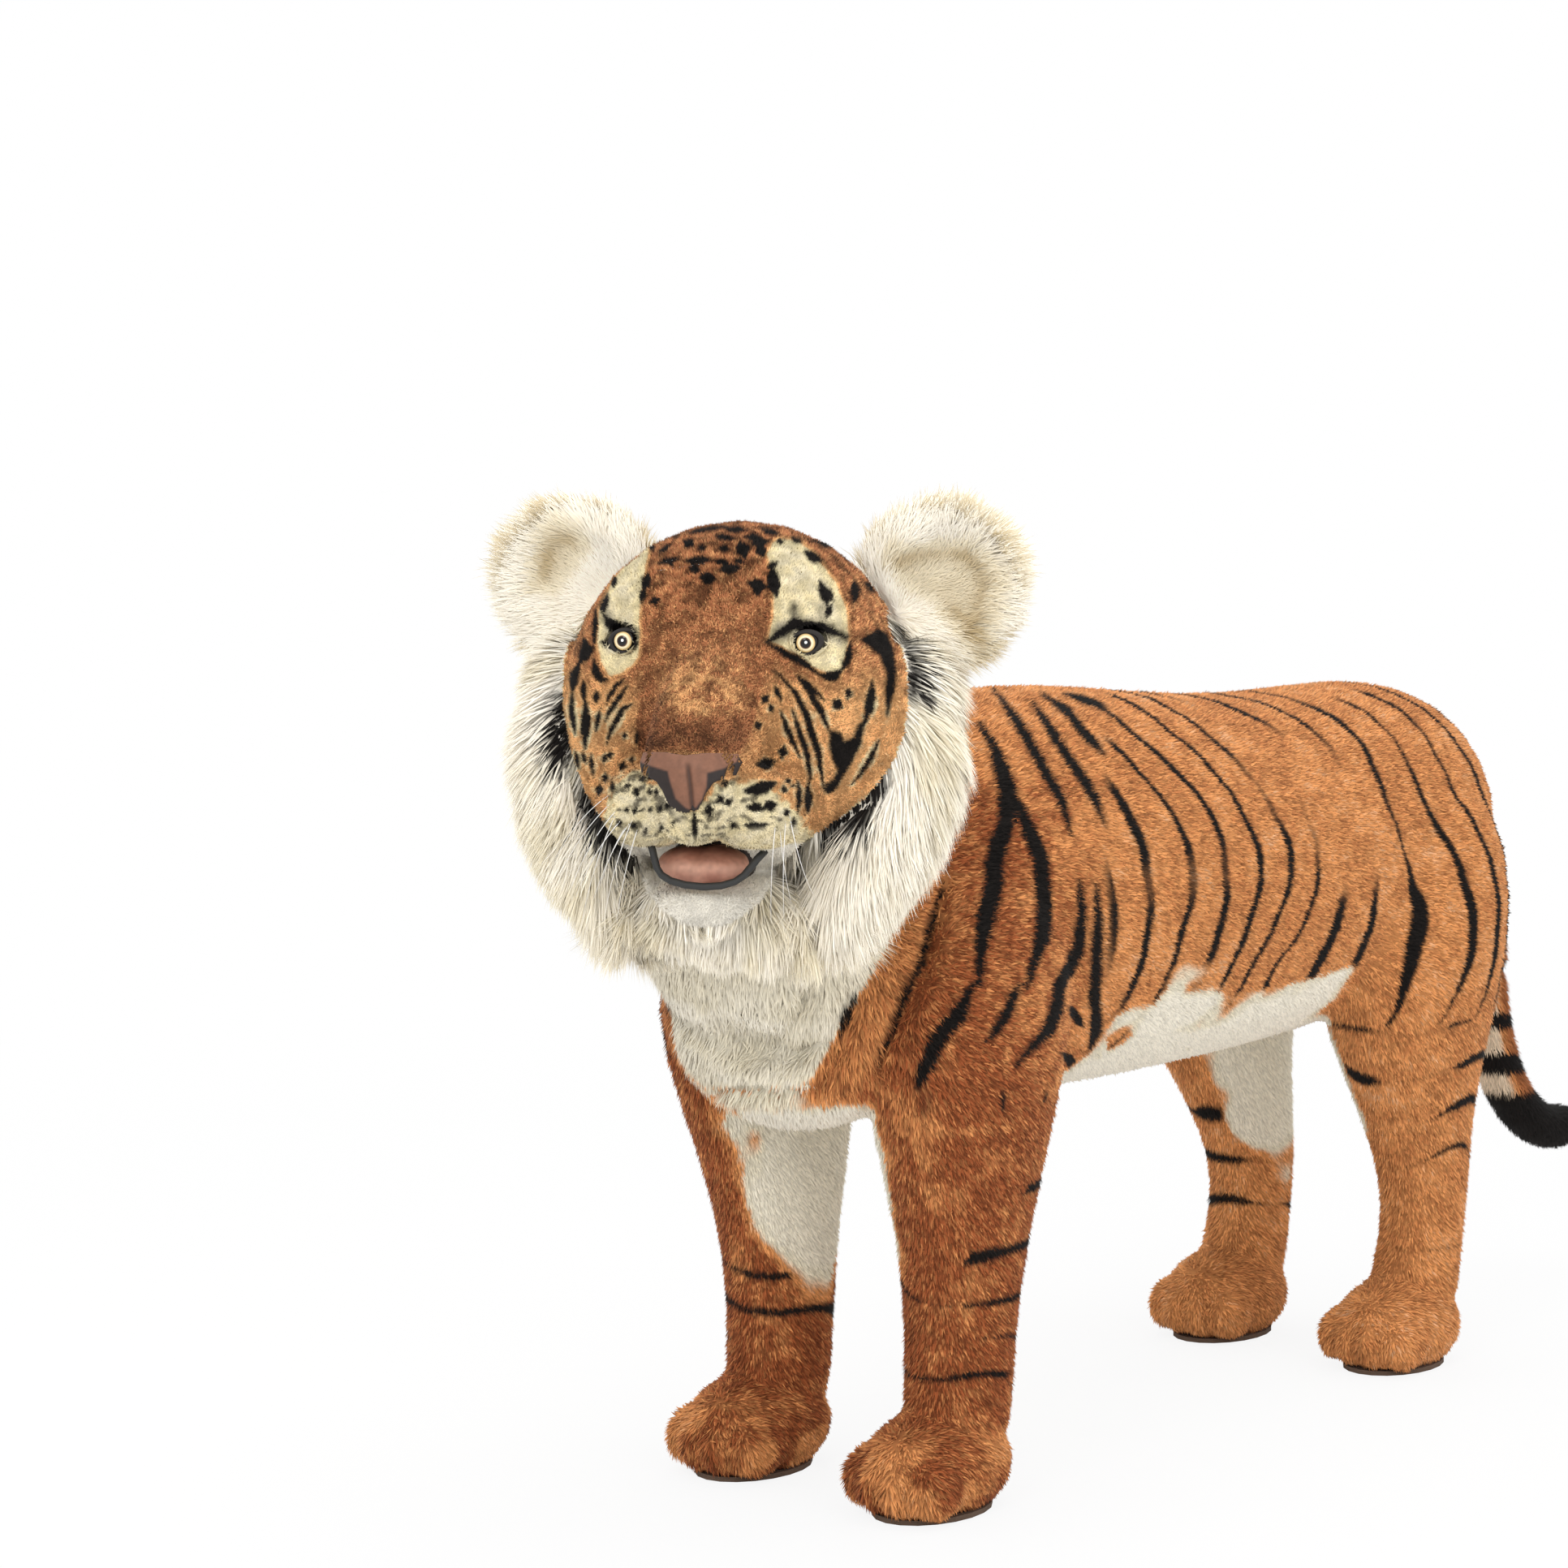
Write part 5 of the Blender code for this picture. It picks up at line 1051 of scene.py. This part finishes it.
for side, sign in (("left", 1.0), ("right", -1.0)):
    place = np.array(eyes["place"]) * (sign, 1, 1)
    local, tris = ballMesh(eyes["radius"], 160, 112)
    gaze = np.array(eyes["gaze"]) * (sign, 1, 1)
    gaze /= np.linalg.norm(gaze)
    points = fromHead(local + place)
    made = meshObject(f"eye{side.title()}Ball", points, tris)
    reach = np.linalg.norm(local - (local @ gaze)[:, None] * gaze, axis=1)
    # ring falls below zero on the painted highlight's dot
    spark = np.linalg.norm(local - eyes["radius"] * unit((gaze + eyes["sparkWay"])[None]), axis=1)
    reach = np.where(spark < eyes["sparkRadius"], spark - eyes["sparkRadius"], reach)
    reach = np.where(local @ gaze > 0, reach, 0.1)
    layer = made.data.attributes.new("ring", "FLOAT", "POINT")
    layer.data.foreach_set("value", reach.astype(np.float32))
    show(made, "head", eyeMaterial, "eye_glass")
    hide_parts(f"eye_{side}")
    made = meshObject(f"eye{side.title()}Lid", *lidMesh(place))
    show(made, "head", lidMaterial, "dark_felt")
    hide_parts(f"eyelid_{side}")


# nose and mouth

print("making the nose and the mouth")
nose = {
    "colour": (0.21, 0.092, 0.053), "edge": (0.020, 0.012, 0.010), "roughness": 0.5, "grooveDepth": 0.0022,
    "scale": (1.06, 1, 1), "shift": (0, 0.003, 0)}
points, tris = remeshed(["nose_leather"], 0.0013, 5)
spots = toPhoto(points)
normals = vertexNormals(points, tris)
noseEdge = (
    (786, 910), (909, 910), (911, 928), (906, 939), (892, 947), (872, 953), (871, 970), (866, 985), (859, 995),
    (852, 999), (845, 996), (833, 984), (827, 965), (824, 951), (806, 945), (791, 939), (785, 930))
edge, _ = lineDistance(spots, noseEdge + noseEdge[:1])
grooveGap = np.abs(spots[:, 0] - (848 + (spots[:, 1] - 940) * 0.10))
groove = (1 - smooth(0, 5, grooveGap)) * smooth(935, 950, spots[:, 1])
points = points - normals * (nose["grooveDepth"] * groove * (normals @ frontAxis > 0.3))[:, None]
points = fromHead(toHead(points) * nose["scale"] + nose["shift"])
made = meshObject("noseLeather", points, tris)
dark = np.maximum(1 - smooth(-0.5, 3.0, np.where(patch(spots, noseEdge, 0.5) > 0.5, edge, -edge)), groove * 0.75)
dark = np.where(normals @ frontAxis > 0.2, dark, 1.0)
setCoat(made, np.column_stack((dark, cloud(points, 0.004, 61), cloud(points, 0.0012, 62), np.ones(len(points)))))
noseMaterial, shader, wire = newMaterial("noseLeather", nose["roughness"], {"Specular IOR Level": 0.35})
dark, mottle, grain = wire.node("ShaderNodeAttribute", {"attribute_name": "coat"}).channels()
colour = dark.mix(nose["colour"], nose["edge"]) * (0.75 + mottle * 0.3 + grain * 0.2)
colour.feed(shader)
show(made, "head", noseMaterial, "nose_leather")
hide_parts("nose_leather")

mouth = {
    # sheen is a painted highlight band across the tongue, top is painted shade at the tongue's top
    "tongue": (0.32, 0.122, 0.082), "sheen": (0.62, 0.33, 0.23), "top": (0.10, 0.025, 0.018),
    "lining": (0.016, 0.009, 0.009), "liningScale": (0.80, 1, 1), "aside": 0.003, "tongueHigh": 1.35,
    "tongueLift": 0.009}
# the lining is dark felt made near black, as painted shade inside the mouth
liningMaterial = newMaterial("mouthLining", 0.7, None, mouth["lining"])[0]
points, tris = remeshed(["mouth_lining"], 0.002, 4)
points = fromHead(toHead(points) * mouth["liningScale"] - (mouth["aside"], 0, 0))
made = meshObject("mouthLining", points, tris)
show(made, "head", liningMaterial, "dark_felt")
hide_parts("mouth_lining")
tongueMaterial, shader, wire = newMaterial("tongueFelt", 0.55)
points, tris = remeshed(["tongue"], 0.0018, 5)
local = toHead(points)
middle = local.mean(0)
fromMiddle = (local[:, 2] - middle[2]) * mouth["tongueHigh"] + mouth["tongueLift"]
local[:, 2] = middle[2] + fromMiddle - 0.003 * np.exp(-(local[:, 0] / 0.006) ** 2)
local[:, 0] -= mouth["aside"]
low = local[:, 2].min()
points = fromHead(local)
made = meshObject("tongue", points, tris)
# channels: the painted highlight band with some mottle, fine grain, and the painted shade at the top
setCoat(made, np.column_stack((
    0.4 * cloud(points, 0.010, 71) + 0.6 * np.exp(-((local[:, 2] - low - 0.016) / 0.005) ** 2),
    cloud(points, 0.003, 72), smooth(low + 0.024, low + 0.036, local[:, 2]), np.ones(len(points)))))
soft, fine, high = wire.node("ShaderNodeAttribute", {"attribute_name": "coat"}).channels()
colour = soft.mix(mouth["tongue"], mouth["sheen"]) * (0.75 + fine * 0.35)
colour = high.mix(colour, mouth["top"])
colour.feed(shader)
show(made, "head", tongueMaterial, "tongue_felt")
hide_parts("tongue")


def onHead(spot):  # the point of the head's skin seen at a pixel
    ray = pixelRay(spot)
    ray /= np.linalg.norm(ray)
    hit = headTree.ray_cast(Vector(camPlace), Vector(ray))[0]
    return camPlace + ray * view["distance"] if hit is None else np.array(hit)


lips = {"colour": (0.020, 0.020, 0.019), "radius": 0.0034, "lead": 0.156, "curve": 9.0}
lipMaterial = newMaterial("lipFelt", 0.6, None, lips["colour"])[0]
path, across = [], 0.0
for spot in (
        (800, 1036), (806, 1046), (806, 1058), (808, 1070), (812, 1080), (823, 1086), (843, 1092), (867, 1095),
        (892, 1093), (909, 1088), (918, 1080), (925, 1069), (931, 1058), (943, 1048)):
    ray = pixelRay(spot)
    for _ in range(5):
        lead = lips["lead"] - lips["curve"] * across ** 2
        point = camPlace + ray * (lead - (camPlace - headMiddle) @ frontAxis) / (ray @ frontAxis)
        across = toHead(point[None])[0][0]
    path.append(point)
path = np.array(path)
for _ in range(2):
    path[1:-1] = (path[:-2] + path[1:-1] * 2 + path[2:]) / 4
points, tris = tubeMesh(path, lips["radius"], 8)
made = meshObject("lipBand", points, tris)
show(made, "head", lipMaterial, "dark_felt")

whiskers = {
    "colour": (0.90, 0.88, 0.84), "radius": 0.00042, "longest": 0.16, "bow": 0.25, "sag": 0.0016, "steps": 12}
whiskerMaterial = newMaterial("whiskerHair", 0.4, None, whiskers["colour"])[0]
strands, start, corners = [], 0, []
for root, end, sag in (
        ((752, 990), (703, 1072), 10), ((758, 1000), (716, 1090), 12), ((764, 1012), (722, 1100), 12),
        ((775, 1015), (744, 1104), 10), ((780, 1008), (757, 1128), 10), ((786, 1020), (771, 1142), 6),
        ((750, 980), (698, 1052), 14), ((770, 1020), (751, 1090), 6), ((758, 1005), (729, 1135), 12),
        ((960, 1005), (986, 1108), -8), ((968, 1012), (977, 1128), -6), ((972, 1000), (1012, 1096), -12),
        ((955, 1020), (961, 1132), -4), ((800, 700), (862, 690), 0), ((806, 704), (872, 694), 0),
        ((812, 694), (850, 686), 0)):
    first = onHead(root)
    last = onHead(end) + frontAxis * (0.035 if end[1] > 1000 else 0.0)
    if np.linalg.norm(last - first) > whiskers["longest"]:
        last = first + (last - first) * whiskers["longest"] / np.linalg.norm(last - first)
    share = np.linspace(0, 1, whiskers["steps"])[:, None]
    bow = whiskers["bow"] * frontAxis * np.linalg.norm(last - first) + sag * whiskers["sag"] * upAxis
    reach = (1 - share) * first + share * last + (1 - share) * share * bow
    points, tris = tubeMesh(reach, whiskers["radius"] * np.linspace(1.2, 0.35, whiskers["steps"]), 4)
    strands.append(points)
    corners.append(tris + start)
    start += len(points)
made = meshObject("whiskers", np.vstack(strands), np.vstack(corners))
show(made, "head", whiskerMaterial, "long_cream_plush")


# hard pieces

hard = {  # colour, roughness, metallic, ends of the names
    "steel": ((0.45, 0.46, 0.48), 0.38, 1.0, (
        "rod", "plate", "crossbar", "tube", "post", "bolt", "washer_left", "washer_right")),
    "board": ((0.42, 0.30, 0.17), 0.75, 0.0, ("disc",)),
    "soleSuede": ((0.12, 0.075, 0.05), 0.9, 0.0, ("sole",))}
for kind, (colour, roughness, metallic, ends) in hard.items():
    material, shader, wire = newMaterial(kind, roughness, {"Metallic": metallic})
    place = wire.node("ShaderNodeTexCoord", None, None, 3)
    fine = wire.node("ShaderNodeTexNoise", None, {"Vector": place, "Scale": 50.0, "Detail": 3.0})
    (colour * (fine * 0.3 + 0.85)).feed(shader)
    for name, node in nodes.items():
        if name.endswith(ends):
            for slot in node.material_slots:
                slot.material = material


# floor and light

light = {"key": 34.0, "fill": 25.0, "top": 24.0, "spark": 3.0, "sky": 1.0}


def area(name, place, size, power, target):
    data = bpy.data.lights.new(name, "AREA")
    data.shape = "DISK"
    data.size, data.energy = size, power
    lamp = bpy.data.objects.new(name, data)
    bpy.context.scene.collection.objects.link(lamp)
    lamp.location = place
    lamp.rotation_euler = (Vector(place) - Vector(target)).to_track_quat("Z", "Y").to_euler()


aimPoint = headMiddle - frontAxis * 0.2
area("keyLamp", camPlace - camRight * 1.6 + upAxis * 2.0, 1.6, light["key"], aimPoint)
area("fillLamp", camPlace + camRight * 2.2 + upAxis * 0.8, 2.4, light["fill"], aimPoint)
area("sparkLamp", camPlace - camRight * 0.35 + upAxis * 0.45, 0.16, light["spark"], headMiddle)
area("topLamp", headMiddle + np.array((0.4, 0.6, 2.6)), 2.6, light["top"], aimPoint)
world = bpy.data.worlds.new("sky")
bpy.context.scene.world = world
world.use_nodes = True
tree = world.node_tree
background = tree.nodes["Background"]
background.inputs["Color"].default_value = (1, 1, 1, 1)
background.inputs["Strength"].default_value = light["sky"]

corners = np.array(((-40, -40, 0), (40, -40, 0), (40, 40, 0), (-40, 40, 0)))
floorObject = meshObject("floor", corners, [(0, 1, 2, 3)])
floorMaterial, shader, wire = newMaterial("floor", 0.9, None, (0.86, 0.86, 0.86))
place = wire.node("ShaderNodeNewGeometry", None, None, "Position")
reach = wire.node("ShaderNodeVectorMath", {"operation": "LENGTH"}, {0: place}, "Value")
glow = wire.node("ShaderNodeEmission", None, {"Strength": 1.0})
share = wire.node("ShaderNodeLightPath", None, None, "Is Camera Ray") * (reach.between(1.2, 3.2) * 0.12 + 0.88)
both = wire.node("ShaderNodeMixShader", None, {0: share, 1: Wire(wire.tree, shader.outputs[0]), 2: glow})
both.feed(wire.tree.nodes["Material Output"], "Surface")
floorObject.data.materials.append(floorMaterial)
bpy.context.scene.view_settings.view_transform = "Standard"
